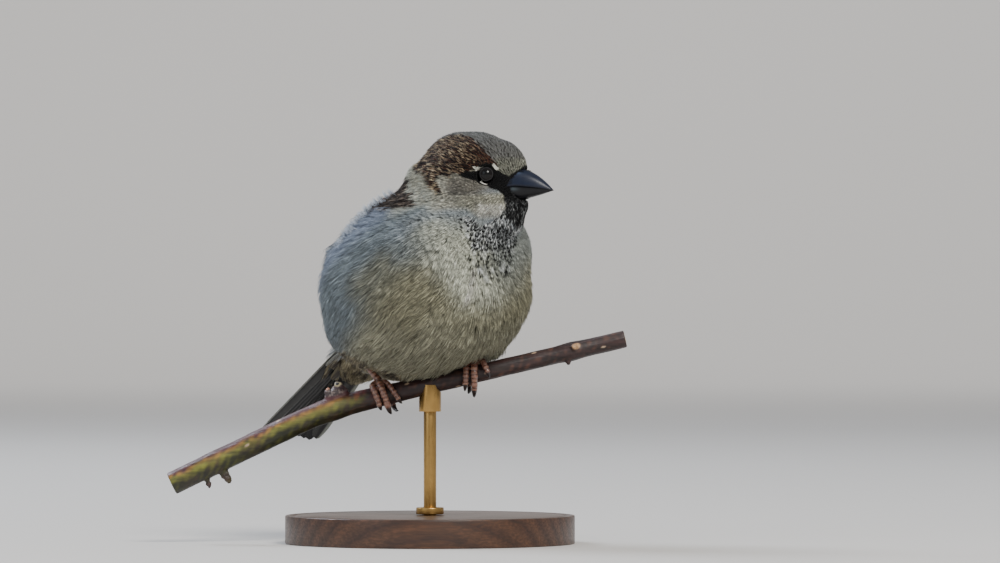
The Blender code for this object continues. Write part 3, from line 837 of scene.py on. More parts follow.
def coat_depth(points: Array) -> Array:
    """How deep the plumage is over the skin, in millimetres, at world points."""
    head = head_mm(points)
    depth = np.interp(from_bill(head), (3, 8, 18, 26, 40, 60), (0.35, 0.6, 1.1, 1.7, 3.2, 4.2))
    near = np.linalg.norm(from_eye(head), axis=1)
    rear = (bird_mm(points) - BODY_CENTRE) @ SPINE
    depth = np.minimum(depth, np.interp(rear, (-30, -22, -14), (1.0, 1.9, 4.4)))
    return np.minimum(depth, 0.3 + 0.35 * np.maximum(near - 2.8, 0))


class Markings:
    """Where a cock house sparrow's colours lie, as soft functions of place on the bird."""

    crown_grey = tint(98, 98, 95)
    crown_fleck = tint(34, 31, 28)
    chestnut = tint(70, 30, 17)
    chestnut_dark = tint(14, 8, 6)
    straw = tint(236, 216, 178)
    cheek_grey = tint(134, 130, 120)
    cream = tint(186, 184, 166)
    white = tint(226, 224, 212)
    black = tint(8, 8, 9)
    bib_fringe = tint(232, 236, 236)
    breast = tint(204, 206, 189)
    # The belly's darker buff is partly its own colour, partly painted shade of the underside.
    belly = tint(146, 143, 119)
    low_belly = tint(158, 156, 134)
    # The flank's grey carries a blue cast that is painted cool shade.
    flank = tint(126, 136, 141)
    # The olive is partly the lower flank's own tone, partly painted shade of the underside.
    olive = tint(129, 130, 117)
    # The shoulder's grey-blue is partly its own grey, partly painted cool shade.
    shoulder = tint(139, 150, 167)
    upper = tint(151, 156, 150)
    # The upper side's blue tint over its grey is painted cool shade.
    upper_side = tint(142, 151, 158)
    neck_side = tint(176, 177, 165)
    vent = tint(158, 148, 120)
    vent_centre = tint(56, 46, 36)
    mantle = tint(78, 70, 64)
    mantle_centre = tint(34, 27, 24)
    rump = tint(104, 100, 92)
    lore_buff = tint(114, 115, 102)

    def paint(self, points: Array) -> dict[str, Array]:
        """How strongly each marking shows at world points.

        Args:
            points: World points, in metres.

        Returns:
            The ground colour and the share of each marking over it.
        """
        b, h = bird_mm(points), head_mm(points)
        rel = b - BODY_CENTRE
        lengthwise, dorsal = rel @ SPINE, rel @ DORSAL
        turn = np.degrees(np.arctan2(np.abs(rel[:, 1]), dorsal))
        hx, hy, hz = h[:, 0], np.abs(h[:, 1]), h[:, 2]
        bx, by, bz = b.T
        line = np.interp

        under = np.maximum(step(7, -4, lengthwise), step(17, 8, lengthwise) * step(136, 148, turn))
        chest = mix(self.upper_side, self.upper, step(92, 104, turn) * step(35, 31, lengthwise))
        middle = line(bz, (26, 32, 38, 50), (-4.5, -5.5, -8.8, -12.5))
        # A bell of the breast's pale colour over its front: partly its own paleness, partly a painted pool of
        # light.
        pale_breast_painted_light = np.exp(-(((by - middle) / 10) ** 4) - (((bz - 38) / 14) ** 4))
        ground = layered(
            self.shoulder,
            (self.flank, 0.85 * np.maximum(step(4, 12, by), step(50, 36, turn))),
            (self.neck_side, step(19, 25, lengthwise)),
            (self.flank, step(62, 82, turn)),
            # The olive band low on the side and the darker belly are partly their own colour, partly painted
            # shade of the underside.
            (self.olive, step(86, 102, turn) * step(24, 14, lengthwise) * step(-6, 6, lengthwise)),
            (mix(self.belly, self.low_belly, under), step(104, 124, turn)),
            (chest, step(17, 30, lengthwise) * step(76, 92, turn)),
            (self.breast, pale_breast_painted_light * step(12, 20, bx)),
        )
        # Painted shadow on the breast at the bib's lower edge.
        ground = ground * (1 - 0.4 * bump(by, -3.0, 3.2) * bump(bz, 37, 2.6) * step(20, 24, bx))[:, None]
        # Painted shade along the breast's left contour, where it turns from the light.
        ground = ground * (1 - 0.04 * bump(by, 13, 9) * step(14, 22, bx) * step(50, 40, bz))[:, None]
        on_head = step(-21, -15, hx) * step(-16, -11, hz + 0.5 * np.minimum(hx + 6, 0))
        nape = step(-23, -17.5, hx) * step(-2.4, -0.4, hz)
        jowl = step(-1.5, 1.5, hz - line(hx, (3, 7), (-12.6, -15.2))) * step(-6.5, -9.0, hz)
        jowl = jowl * step(-9, -5, hx) * step(2, 5, hy)
        corner = bump(hx, -4.9, 2.2) * bump(hz, -5.6, 2.9) * step(5, 8, hy)
        whiter = np.maximum(step(-10.5, -12.5, hz) * step(4, 8, hx), 0.35 * step(4, -2, hx))
        loose = bump(by, line(bz, (24.9, 30.0, 36.8), (-10.0, -8.2, -6.8)), 0.95)
        cheek = np.exp(-(((hx - 2.6) / 6.6) ** 4) - (((hz + 5.2 - 0.12 * (hx - 2.6)) / 3.5) ** 4))
        cheek = cheek * step(3, 6, hy)
        trailing = step(-28, -34, lengthwise) * step(-7.5, -9.5, by)
        ground = layered(
            ground,
            (self.rump, step(48, 34, turn) * (1 - step(-8, -3, lengthwise))),
            (self.cream * 0.7, on_head * step(-8, -4, hz)),
            (self.neck_side, on_head * (1 - step(-10, -6, hz)) * (1 - step(-8, -2, hx))),
            (mix(self.cream, self.white * 1.1, whiter), np.clip(jowl + 1.2 * corner, 0, 1)),
            (self.white, loose * step(24, 27, bz) * step(37.5, 36, bz) * step(20, 24, bx) * 0.9),
            (self.cheek_grey, np.clip(cheek * 1.1, 0, 1)),
            (self.bib_fringe * 0.56, trailing),
        )

        edge = np.clip(28 + 1.55 * lengthwise, 28, 60) + 9 * step(21, 27, lengthwise)
        back = step(5, -5, turn - edge) * step(-8, -3, lengthwise) * (1 - np.clip(on_head + nape, 0, 1))
        below = np.maximum(
            step(-16, -24, lengthwise) * step(95, 120, turn), step(-23, -29, lengthwise) * step(7, 5, dorsal)
        )
        crown_half = line(
            hx, (-12, -6, 0, 3.5, 6.4, 9, 12.3, 13.2, 14), (3.6, 4.6, 4.4, 5.2, 6.2, 6.7, 6.5, 9, 12)
        )
        crown_low = line(hx, (8, 11, 12.4, 15.2, 17.2, 19.5), (2.4, -0.6, -1.4, -3.6, -2.8, -1.2))
        crown = (1 - step(-0.5, 0.6, hy - crown_half)) * step(-1.4, 0.2, hz - crown_low)
        lowest = line(
            hx,
            (-18, -15, -11.9, -10.2, -6.4, -4.9, -2.4, 0, 4.5, 9),
            (-0.6, -1.2, -1.6, -3, -3.2, -2.6, -2.3, -2.2, -0.9, -0.4),
        )
        left = line(hz, (-8.4, -7.4, -5.5, -2.9), (-3.9, -6.7, -8.7, -10.5))
        right = line(hz, (-8.4, -5.5, -3.9, -2), (-3.2, -5.5, -6.1, -6.2))
        tongue = step(-0.4, 0.4, hx - left) * step(0.4, -0.4, hx - right)
        tongue = tongue * step(-9.0, -8.2, hz) * step(-2, -2.8, hz)
        rufous = np.maximum(step(-0.5, 0.5, hz - lowest), tongue * step(6, 8, hy)) * np.maximum(on_head, nape)

        eye = np.hypot(hx - 8.9, hz + 1.8)
        lean = hz - 0.5 + 1.15 * (hx - 11.55)
        spot = step(0.8, 0.6, np.abs(lean)) * step(1.5, 1.2, np.abs(hx - 11.55 - 0.87 * (hz - 0.5)))
        wedge = step(0.12, -0.12, hz - 0.8 + 0.2 * (hx - 4.9))
        wedge = wedge * step(-0.2, 0.2, (hz - 0.7) + 1.5 * (hx - 4.9))
        wedge = wedge * step(-0.12, 0.12, hz + 0.85 - 0.58 * (hx - 5.9))
        lore_top = line(
            hx, (9, 11.6, 12.4, 13.5, 15.2, 17.2, 18.6, 19.5), (1.4, 0.2, -0.5, -1.4, -2.3, -0.9, 0.3, 1.3)
        )
        lore_low = line(hx, (7, 7.8, 9.1, 10.1, 12.1, 13.6, 14.9), (-4.2, -4.6, -5.2, -6.2, -6.8, -8.1, -9.6))
        lore = step(6.6, 7.6, hx) * step(0.3, -0.3, hz - lore_top) * step(-0.35, 0.35, hz - lore_low)
        stripe_top = line(hx, (0, 3, 4.8, 8), (-1.7, -1.0, -0.7, -0.3))
        stripe_low = line(hx, (0, 1.8, 3.6, 5.4, 7.2), (-2.3, -2.6, -3.2, -3.7, -4.1))
        stripe = step(-0.3, 0.3, hz - stripe_low) * step(0.3, -0.3, hz - stripe_top)
        stripe = stripe * step(-0.5, 2.0, hx) * step(9, 8, hx)
        chin_half = line(hz, (-20, -18, -16.7, -15.5, -13.6, -9.1, -7.5), (2.6, 3.2, 3.6, 4.5, 5.3, 5.8, 5.0))
        chin = step(0.5, -0.5, hy - chin_half) * step(-6.4, -7.4, hz)
        chin = chin * step(8.5, 10.5, hx) * step(-18.8, -17.2, hz)

        half = line(bz, (33.5, 37, 40, 44, 49, 53, 56), (5.4, 8.6, 9.6, 9.4, 11.4, 12.8, 12.0))
        middle = line(bz, (37, 45, 55), (0.4, 1.4, 2.4))
        top = line(by, (-12, -9.6, -6.2, -3.5, -1.4, 0.4, 2.5), (56.2, 55.0, 52.9, 51.2, 51.8, 53.4, 57.4))
        bib = step(0.6, -0.6, np.abs(by - middle) - half) * step(33.2, 34.6, bz) * step(0.5, -0.5, bz - top)
        dense_half = line(bz, (42, 46, 52), (8.6, 9.2, 10.0))
        return {
            "ground": ground,
            "bib": bib * step(17, 21, bx),
            "dense": step(40.5, 44.5, bz) * step(1.5, -1.5, np.abs(by - middle + 0.6) - dense_half),
            "core": step(42.2, 43.8, bz) * step(52, 49.5, bz) * step(7.5, 4.5, np.abs(by - 0.2)),
            "mask": np.clip(np.maximum.reduce([lore, step(3.75, 3.25, eye), 0.92 * stripe, chin]), 0, 1),
            "chin": chin,
            "brow": step(10, 12.5, hx) * (1 - step(2.0, 4.4, hz)),
            "head_z": hz,
            "vent": (1 - trailing) * below,
            "crown": crown * step(-17, -11, hx),
            "straw": np.clip(step(11, -3, hx), 0, 1),
            "cheek": np.clip(cheek + jowl, 0, 1),
            "whites": np.clip(spot + wedge, 0, 1) * step(4, 6, hy),
            "back": back * step(68, 64, bz),
            "rufous": rufous * (1 - step(12, 13, hx)) * (1 - step(-15.5, -18, hx)),
            "turn": turn,
            "lengthwise": lengthwise,
        }


MARKINGS = Markings()


def feather_flow(points: Array, normals: Array) -> Array:
    """The way feathers point on the surface: back from the bill, down the breast and on to the tail.

    Args:
        points: World points on the surface.
        normals: The surface's normals there.

    Returns:
        One unit direction along the surface for each point, in the world.
    """
    b, h = bird_mm(points), head_mm(points)
    n = turned(normals, BIRD_FRAME.inverted())
    off = b - bird_mm(moved((BILL_ROOT * MM)[None], HEAD_FRAME))
    reach = np.linalg.norm(off, axis=1)
    near = step(44, 22, reach)[:, None]
    to_vent = unit(np.array((-32.0, 0.0, 10.0)) - b)
    down = np.array((0.0, 0.0, -1.0))
    body = -SPINE * 0.85 + to_vent * 0.35 + down * 0.22
    body = body + unit(off) * 0.45 * step(60, 36, reach)[:, None]
    body[:, 1] += np.tanh((b[:, 1] - 2) / 9) * 0.42 * step(-8, 12, b[:, 0]) * step(62, 46, b[:, 2])
    way = unit(off) * near + body * (1 - near)
    tail_way = np.array((-math.cos(math.radians(40.5)), 0.14, -math.sin(math.radians(40.5))))
    way = mix(way, tail_way, step(-16, -26, (b - BODY_CENTRE) @ SPINE))
    sided = from_eye(h)
    gap = np.linalg.norm(sided, axis=1)
    sided[:, 1] *= np.where(h[:, 1] < 0, -1, 1)
    away = turned(turned(unit(sided), HEAD_FRAME), BIRD_FRAME.inverted())
    inward = np.minimum((way * away).sum(1, keepdims=True), 0)
    way = way - away * inward * step(5.4, 3.0, gap)[:, None]
    way = way - n * (way * n).sum(1, keepdims=True)
    return unit(turned(way, BIRD_FRAME))


def wander(points: Array, scale: float, seed: int) -> Array:
    """A smooth value between about -1 and 1 that drifts over space.

    Args:
        points: World points, in metres.
        scale: The size of one drift, in metres.
        seed: Which drift.

    Returns:
        One value for each point.
    """
    rng = np.random.default_rng(seed)
    waves = unit(rng.normal(size=(7, 3))) * (2 * np.pi / scale) * rng.uniform(0.6, 1.5, (7, 1))
    phases = rng.uniform(0, 2 * np.pi, 7)
    return np.sin(points @ waves.T + phases).sum(1) / 3.2


# ---------------------------------------------------------------- the coat


class Tract(Enum):
    """The parts of the coat, each made as its own pieces."""

    HEAD_TOP = "coat_crown"
    HEAD_SIDE = "coat_cheeks"
    THROAT = "coat_bib"
    BREAST = "coat_breast"
    FLANK_RIGHT = "coat_flank_right"
    FLANK_LEFT = "coat_flank_left"
    BELLY = "coat_belly"
    BACK = "coat_back"
    VENT = "coat_vent"
    SHOULDER = "coat_shoulders"


def areas_of(corners: Array) -> Array:
    """The areas of triangles given by their corners."""
    return np.linalg.norm(np.cross(corners[:, 1] - corners[:, 0], corners[:, 2] - corners[:, 0]), axis=1) / 2


def within(corners: Array, share: Array) -> Array:
    """Values inside triangles, from those at their corners and the share of each."""
    return (corners * share[:, :, None]).sum(1)


def spaced(points: Array, gaps: Array) -> Array:
    """Which points to keep so that each has its own gap round it free of later ones."""
    tree = tree_over(points)
    waiting, chosen = np.ones(len(points), bool), []
    for i, gap in enumerate(gaps):
        if waiting[i]:
            chosen.append(i)
            for _, j, _ in tree.find_range(points[i], gap):
                waiting[j] = False
    return np.array(chosen)


def shown(
    name: str, shell: Shell, colours: Array, material: bpy.types.Material,
    places: Array | None = None, nodes: Sequence[str] = (),
) -> None:
    """Makes a new piece from arrays and hands it over.

    Args:
        name: Its name.
        shell: Its points and triangles.
        colours: Its linear colours at those points.
        material: Its finish.
        places: The points' places on its baking map, if it has one.
        nodes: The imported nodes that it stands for.
    """
    mesh = mesh_of(name, *shell)
    paint_points(mesh, colours)
    if places is not None:
        map_points(mesh, places)
    mesh.materials.append(material)
    hand_over(object_of(mesh), nodes)


@dataclass
class FeatherMap:
    """An even spread of feather outlines over the body, which the markings follow like scales."""

    form: BodyForm
    seed: int = 77
    candidates: int = 90000
    near: int = 12
    centres: Array = field(init=False)
    ways: Array = field(init=False)
    sides: Array = field(init=False)
    sizes: Array = field(init=False)
    tones: Array = field(init=False)
    marks: dict[str, Array] = field(init=False)
    tree: KDTree = field(init=False)

    def size_at(self, points: Array) -> Array:
        """How wide the marked feathers are at world points, in millimetres."""
        bib = bump(bird_mm(points)[:, 2], 44, 11) * step(24, 28, bird_mm(points)[:, 0])
        reach = from_bill(head_mm(points))
        width = np.interp(reach, (2, 8, 16, 26, 36, 50), (0.5, 0.75, 0.95, 1.2, 2.0, 2.8))
        return width * (1 + 0.3 * bib)

    def __post_init__(self) -> None:
        """Spreads the outlines."""
        rng = np.random.default_rng(self.seed)
        corners = self.form.points[self.form.triangles]
        weight = areas_of(corners) / self.size_at(corners.mean(1)) ** 2
        faces = rng.choice(len(corners), self.candidates, p=weight / weight.sum())
        share = rng.dirichlet((1, 1, 1), self.candidates)
        points = within(corners[faces], share)
        normals = unit(within(self.form.normals[self.form.triangles[faces]], share))
        sizes = self.size_at(points)
        rows = spaced(points, sizes * 0.86 * MM)
        self.centres, self.sizes = points[rows], sizes[rows]
        self.ways = feather_flow(self.centres, normals[rows])
        self.sides = np.cross(normals[rows], self.ways)
        self.tones = rng.normal(0, 1, len(rows))
        self.marks = MARKINGS.paint(self.centres)
        self.tree = tree_over(self.centres)

    def read(self, points: Array) -> tuple[Array, Array, Array, Array]:
        """Finds the feather that shows at each world point.

        Args:
            points: World points near the body.

        Returns:
            The way to the feather's tip edge, the way out from its shaft, both in its own widths, its own
            random tone, and which feather it is.
        """
        found = np.array([[hit[1] for hit in self.tree.find_n(point, self.near)] for point in points])
        apart = (points[:, None] - self.centres[found]) / (self.sizes[found] * MM)[:, :, None]
        along = (apart * self.ways[found]).sum(2)
        across = np.abs((apart * self.sides[found]).sum(2))
        edge = 1.15 - 1.1 * across**2 - along
        best = np.where((edge > 0) & (across < 0.85), along, -9 - across).argmax(1)
        row = np.arange(len(points))
        cell = found[row, best]
        return np.clip(edge[row, best], 0, 1.5), across[row, best], self.tones[cell], cell


def plumage_colours(points: Array, scales: FeatherMap) -> tuple[Array, dict[str, Array]]:
    """The plumage's colours at world points, feather by feather, and the markings they come from.

    Args:
        points: World points near the outside of the plumage.
        scales: The feathers' outlines.

    Returns:
        Linear colours, one row for each point, and the markings.
    """
    m, marks = MARKINGS, MARKINGS.paint(points)
    edge, across, tone, cell = scales.read(points)
    for name in ("bib", "rufous", "crown", "back", "vent", "chin"):
        marks[name] = np.where(scales.marks[name][cell] > 0.5, 1.0, 0.0) * 0.85 + 0.15 * marks[name]

    def share(least: float, per_tone: float, low: float = 0.0) -> Array:
        return np.clip(least + per_tone * tone, low, 1)

    shaft = step(0.46, 0.26, across) * step(0.12, 0.26, edge)
    fringe = np.clip(step(0.27, 0.17, edge) + step(0.58, 0.68, across), 0, 1)
    uneven = 0.05 + 0.05 * step(12, 22, marks["lengthwise"]) + 0.1 * marks["cheek"]
    ground = marks["ground"] * (1 + uneven * tone)[:, None]
    bold = step(0.54, 0.36, across + 0.05 * tone) * step(0.05, 0.2, edge)
    mantle = layered(m.mantle, (m.mantle * 3.4, fringe * share(0.5, 0.42)), (m.mantle_centre, bold))
    rufous = layered(
        m.chestnut,
        (m.chestnut_dark, np.clip(shaft * 1.2 + 0.45 * step(0.2, -1.0, tone), 0, 1)),
        (m.straw, fringe * (0.05 + 0.66 * marks["straw"]) * share(0.5, 0.55, 0.02)),
    )
    crown = mix(m.crown_grey * 1.12, m.lore_buff * 1.15, marks["brow"] * 0.8)
    crown = mix(crown, m.crown_fleck, shaft * share(0.75, 0.35))
    crown = mix(crown, crown * 2.1, fringe * share(0.36, 0.42))
    dense, core = marks["dense"], marks["core"]
    inked = step(-0.03, 0.03, 0.6 + 0.5 * dense - 1 / (1 + np.exp(-1.7 * tone)))
    near = 0.31 - 0.15 * core + 0.05 * tone * (1 - 0.5 * core)
    worn = step(near + 0.5, near + 0.68, edge) * (1 - 0.8 * dense)
    dark = step(near - 0.05, near + 0.05, edge) * (1 - worn)
    dark = dark * step(0.56 + 0.22 * core, 0.45 + 0.18 * core, across) * inked
    pale = mix(m.bib_fringe, marks["ground"] * 0.95, np.clip(0.25 - 0.3 * tone + 0.75 * (1 - dense), 0, 1))
    glint = fringe * step(-8, -13, marks["head_z"]) * marks["chin"] * 0.75 * share(0.4, 0.7)
    rows = layered(
        ground,
        (ground * 0.38, marks["cheek"] * shaft * share(0.7, 0.4)),
        (mantle, marks["back"]),
        (rufous, marks["rufous"]),
        (crown, marks["crown"]),
        (mix(m.vent, m.vent_centre, shaft * share(0.7, 0.3)), marks["vent"]),
        (mix(pale, m.black, dark), marks["bib"]),
        (mix(m.black, m.bib_fringe * 0.6, glint), np.maximum(step(0.3, 0.7, marks["mask"]), marks["chin"])),
        (m.white, step(0.3, 0.7, marks["whites"])),
    )
    return rows, marks


@dataclass
class Feathers:
    """Roots and sizes of many contour feathers, one row each; lengths in millimetres."""

    roots: Array
    normals: Array
    places: Array
    length: Array
    width: Array
    depth: Array
    strands: Array
    lift: Array

    def taken(self, rows: Array) -> "Feathers":
        """The feathers of some rows."""
        return Feathers(*(getattr(self, name)[rows] for name in self.__dataclass_fields__))

    @staticmethod
    def together(groups: Sequence["Feathers"]) -> "Feathers":
        """Several groups as one."""
        names = Feathers.__dataclass_fields__
        return Feathers(*(np.concatenate([getattr(g, name) for g in groups]) for name in names))


@dataclass
class Coat:
    """Small feathers over the whole bird: fans of fine barbs laid along the surface."""

    form: BodyForm
    wings: "list[Wing]"
    seed: int = 41
    bends: int = 6
    patch: float = 0.003
    candidates: int = 110000
    most_triangles: int = 185000
    body: BVHTree = field(init=False)
    scales: FeatherMap = field(init=False)

    def __post_init__(self) -> None:
        """Keeps a search tree of the body alone and lays out the marked feathers."""
        self.body = BVHTree.FromPolygons(self.form.points.tolist(), self.form.triangles.tolist())
        self.scales = FeatherMap(self.form)

    def feather_sizes(self, points: Array) -> tuple[Array, Array, Array]:
        """Length, width and spacing of feathers rooted at world points, in millimetres."""
        head = head_mm(points)
        length = np.interp(from_bill(head), (2, 6, 12, 20, 28, 38, 60), (0.9, 1.5, 2.2, 3.1, 4.8, 7.5, 11.0))
        eye = np.linalg.norm(from_eye(head), axis=1)
        length = np.minimum(length, 0.55 + 0.5 * np.maximum(eye - 2.4, 0.1))
        width = length * np.interp(length, (1, 4, 11), (0.62, 0.58, 0.5))
        spacing = np.interp(length, (0.6, 1.5, 3, 5, 8, 11), (0.3, 0.42, 0.68, 1.05, 1.75, 2.35))
        bx, _, bz = bird_mm(points).T
        length = length * (1 - 0.55 * step(9, 6, bz) * step(-20, -25, bx) * step(-45, -41, bx))
        return length, width, spacing

    def rooted(self) -> Feathers:
        """Spreads roots over the skin, closer together where feathers are small."""
        rng = np.random.default_rng(self.seed)
        form = self.form
        corners = form.points[form.triangles]
        weight = areas_of(corners) / self.feather_sizes(corners.mean(1))[2] ** 2
        faces = rng.choice(len(corners), self.candidates, p=weight / weight.sum())
        share = rng.random((self.candidates, 2))
        flip = share.sum(1) > 1
        share[flip] = 1 - share[flip]
        share = np.column_stack([1 - share.sum(1), share])
        points = within(corners[faces], share)
        normals = unit(within(form.normals[form.triangles[faces]], share))
        keep = self.clear(points, normals)
        return self.thinned(points[keep], normals[keep], within(form.corner_places[faces], share)[keep])

    def clear(self, points: Array, normals: Array) -> Array:
        """Which points are free for a root: off the bill, eyes, legs and tail, and not under a wing."""
        head = head_mm(points)
        eye = np.linalg.norm(from_eye(head) - EYE_SHIFT, axis=1)
        free = (eye > EYE_RADIUS + 0.1) & ~Bill().hides(head)
        for i in np.flatnonzero(free):
            place, normal = Vector(points[i]), Vector(normals[i])
            near = self.form.limbs.find_nearest(place, 0.75 * MM)
            if near[0] is not None or any(w.covers(place, normal) for w in self.wings):
                free[i] = False
        return free

    def nearest_places(self, points: Array) -> Array:
        """Where points near the body lie on the skin's flat map."""
        faces = (self.body.find_nearest(point)[2] for point in points)
        return np.array([self.form.corner_places[face].mean(0) for face in faces])

    def thinned(self, points: Array, normals: Array, places: Array, scale: float | Array = 1.0) -> Feathers:
        """Keeps roots that stand at least their own spacing apart.

        Args:
            points: Where roots may stand.
            normals: The surface's normals there.
            places: Their places on the skin's map.
            scale: How large each feather is against its place's usual size.

        Returns:
            The feathers that stay.
        """
        length, width, spacing = (size * scale for size in self.feather_sizes(points))
        rows = spaced(points, spacing * MM)
        strands = np.interp(length[rows], (0.6, 1.5, 3, 3.3, 5, 8, 11), (7, 13, 19, 13, 20, 40, 60))
        kept = (values[rows] for values in (points, normals, places, length, width))
        return Feathers(*kept, coat_depth(points[rows]), strands.astype(int), np.zeros(len(rows)))

    def routes(self, feathers: Feathers, rng: np.random.Generator) -> Shell:
        """Walks each feather over the surface.

        Args:
            feathers: The feathers to lay.
            rng: Where small turns come from.

        Returns:
            For each feather its places on the surface from root to tip, and the normals there.
        """
        swing = rng.normal(0, 0.12, len(feathers.roots)) + 0.16 * wander(feathers.roots, 14 * MM, 5)
        swing *= np.interp(feathers.length, (1, 4), (0.6, 1.0))
        spots, normals = [feathers.roots], [feathers.normals]
        way = None
        stride = feathers.length * MM / (self.bends - 1)
        for _ in range(self.bends - 1):
            n = normals[-1]
            fresh = feather_flow(spots[-1], n)
            side = np.cross(n, fresh)
            fresh = unit(fresh * np.cos(swing)[:, None] + side * np.sin(swing)[:, None])
            way = fresh if way is None else unit(way * 0.45 + fresh)
            way = unit(way - n * (way * n).sum(1, keepdims=True))
            raised = spots[-1] + way * stride[:, None] + n * np.minimum(1.4 * MM, 0.4 * stride)[:, None]
            spot, normal = self.form.landed(raised)
            spots.append(spot)
            normals.append(unit(normal + 0.5 * n))
        return np.stack(spots, 1), np.stack(normals, 1)

    def tract_of(self, feathers: Feathers, marks: dict[str, Array]) -> Array:
        """The tract that each feather belongs to."""
        b, h = bird_mm(feathers.roots), head_mm(feathers.roots)
        turn, lengthwise = marks["turn"], marks["lengthwise"]
        head = (from_bill(h) < 27) & (h[:, 2] > -11)
        low = (h[:, 2] < -0.5) | ((np.abs(h[:, 1]) > 7) & (h[:, 2] < 1.5))
        choices = (
            (head & low, Tract.HEAD_SIDE),
            (head, Tract.HEAD_TOP),
            ((b[:, 2] > 38) & (b[:, 0] > 14) & (turn > 90), Tract.THROAT),
            (lengthwise < -19, Tract.VENT),
            ((turn < 60) & (lengthwise < 14), Tract.BACK),
            (turn < 60, Tract.SHOULDER),
            ((turn > 138) & (lengthwise > 4), Tract.BREAST),
            (turn > 138, Tract.BELLY),
            (b[:, 1] < 0, Tract.FLANK_RIGHT),
        )
        return np.select([mask for mask, _ in choices], [tract for _, tract in choices], Tract.FLANK_LEFT)

    def strand_counts(self, feathers: Feathers) -> Array:
        """How many strands each feather gets."""
        return np.maximum((feathers.strands * THINNING).astype(int), 3)

    def barbs(
        self, feathers: Feathers, spots: Array, normals: Array, rng: np.random.Generator
    ) -> tuple[Shell, Array, Array]:
        """Makes the strands of some feathers.

        Args:
            feathers: The feathers.
            spots: Their places on the surface, root to tip.
            normals: The normals at those places.
            rng: Where the strands' small differences come from.

        Returns:
            All strands' shells as one, their colours and their map places.
        """
        counts = self.strand_counts(feathers)
        owner = np.repeat(np.arange(len(counts)), counts)
        rank = np.arange(len(owner)) - (np.cumsum(counts) - counts)[owner]
        total = len(owner)
        spread = (rank + 0.5) / counts[owner] * 2 - 1
        spread = np.clip(spread + rng.normal(0, 1.0, total) / counts[owner], -1, 1)
        lock = np.maximum(counts[owner] / 7.0, 1)
        lock_centre = (np.floor(rank / lock) + 0.5) * lock / counts[owner] * 2 - 1
        body = step(3.5, 7.0, feathers.length)[owner]
        gather = 0.15 + 0.3 * body * rng.random(total)
        reach = 1.0 - 0.3 * spread**2 + rng.normal(0, 0.05 + 0.07 * body, total)
        reach += 0.22 * body * np.maximum(rng.random(total) - 0.75, 0) * 4
        curl = rng.normal(0, 0.08, total) + rng.normal(0, 0.1, len(counts))[owner]
        thick = np.interp(feathers.length, (0.7, 2, 4, 8, 11), (0.1, 0.13, 0.17, 0.21, 0.23))[owner]
        thick *= rng.uniform(0.7, 1.35, total)
        depth = feathers.depth[owner]
        lift = feathers.lift[owner] + rng.normal(0, 0.045, total) * depth
        half = feathers.width[owner] / 2
        sides = np.cross(normals, unit(np.gradient(spots, axis=1)))
        widest, full = 0.83, math.sin(1.9)

        def at(s: Array) -> tuple[Array, Array, Array]:
            """The middles of the strands at a place along each, with the ways up and aside."""
            opened = 0.2 + 0.8 * np.sin(np.clip(s, 0, 1) * 1.9) / full
            closing = 0.2 + 0.8 * math.sin(widest * 1.9) / full - (s - widest) * 0.5
            pulled = spread + (lock_centre - spread) * gather * np.clip(s, 0, 1.1) ** 2
            out = half * (pulled * np.where(s > widest, closing, opened) + curl * s**2)
            up = lift * s**2 - depth * (1 - np.clip(s, 0, 1)) ** 1.15
            place = np.clip(s, 0, 1.3) * (self.bends - 1)
            i = np.minimum(place.astype(int), self.bends - 2)
            u = (place - i)[:, None]
            v = np.minimum(u, 1)
            p = spots[owner, i] * (1 - u) + spots[owner, i + 1] * u
            n, w = (unit(ways[owner, i] * (1 - v) + ways[owner, i + 1] * v) for ways in (normals, sides))
            return p + w * (out * MM)[:, None] + n * (up * MM)[:, None], n, w

        short = bool(np.median(feathers.length) < 3.2)
        rings = ((0.62, 0.5),) if short else ((0.5, 0.5), (0.8, 0.42))
        rows, middles = [at(0 * reach)[0]], []
        for share, wide in rings:
            base, n, w = at(share * reach)
            wide = (thick * wide * MM)[:, None]
            rows += [base - w * wide, base + w * wide, base + n * (wide * 0.55)]
            middles.append(base)
        rows.append(at(reach)[0])
        faces = [(0, 3, 2), (0, 1, 3), (0, 2, 1)]
        for a in range(1, 3 * len(rings) - 2, 3):
            faces += [(a + 1, a + 2, a + 5), (a + 1, a + 5, a + 4), (a, a + 3, a + 5), (a, a + 5, a + 2)]
            faces += [(a + 1, a + 4, a + 3), (a + 1, a + 3, a)]
        last = 3 * len(rings) + 1
        faces += [(last, last - 2, last - 1), (last, last - 1, last - 3), (last, last - 3, last - 2)]
        triangles = (np.arange(total)[:, None, None] * (last + 1) + np.array(faces)[None]).reshape(-1, 3)
        colours = self.strand_colours(middles, rows[-1], owner, rng)
        where = []
        for share in [0.0] + [share for share, _ in rings for _ in range(3)] + [1.0]:
            patch = np.stack([spread * 0.5, np.full(total, share - 0.5)], 1)
            where.append(feathers.places[owner] + patch * self.patch)
        return (np.stack(rows, 1).reshape(-1, 3), triangles), colours, np.stack(where, 1).reshape(-1, 2)

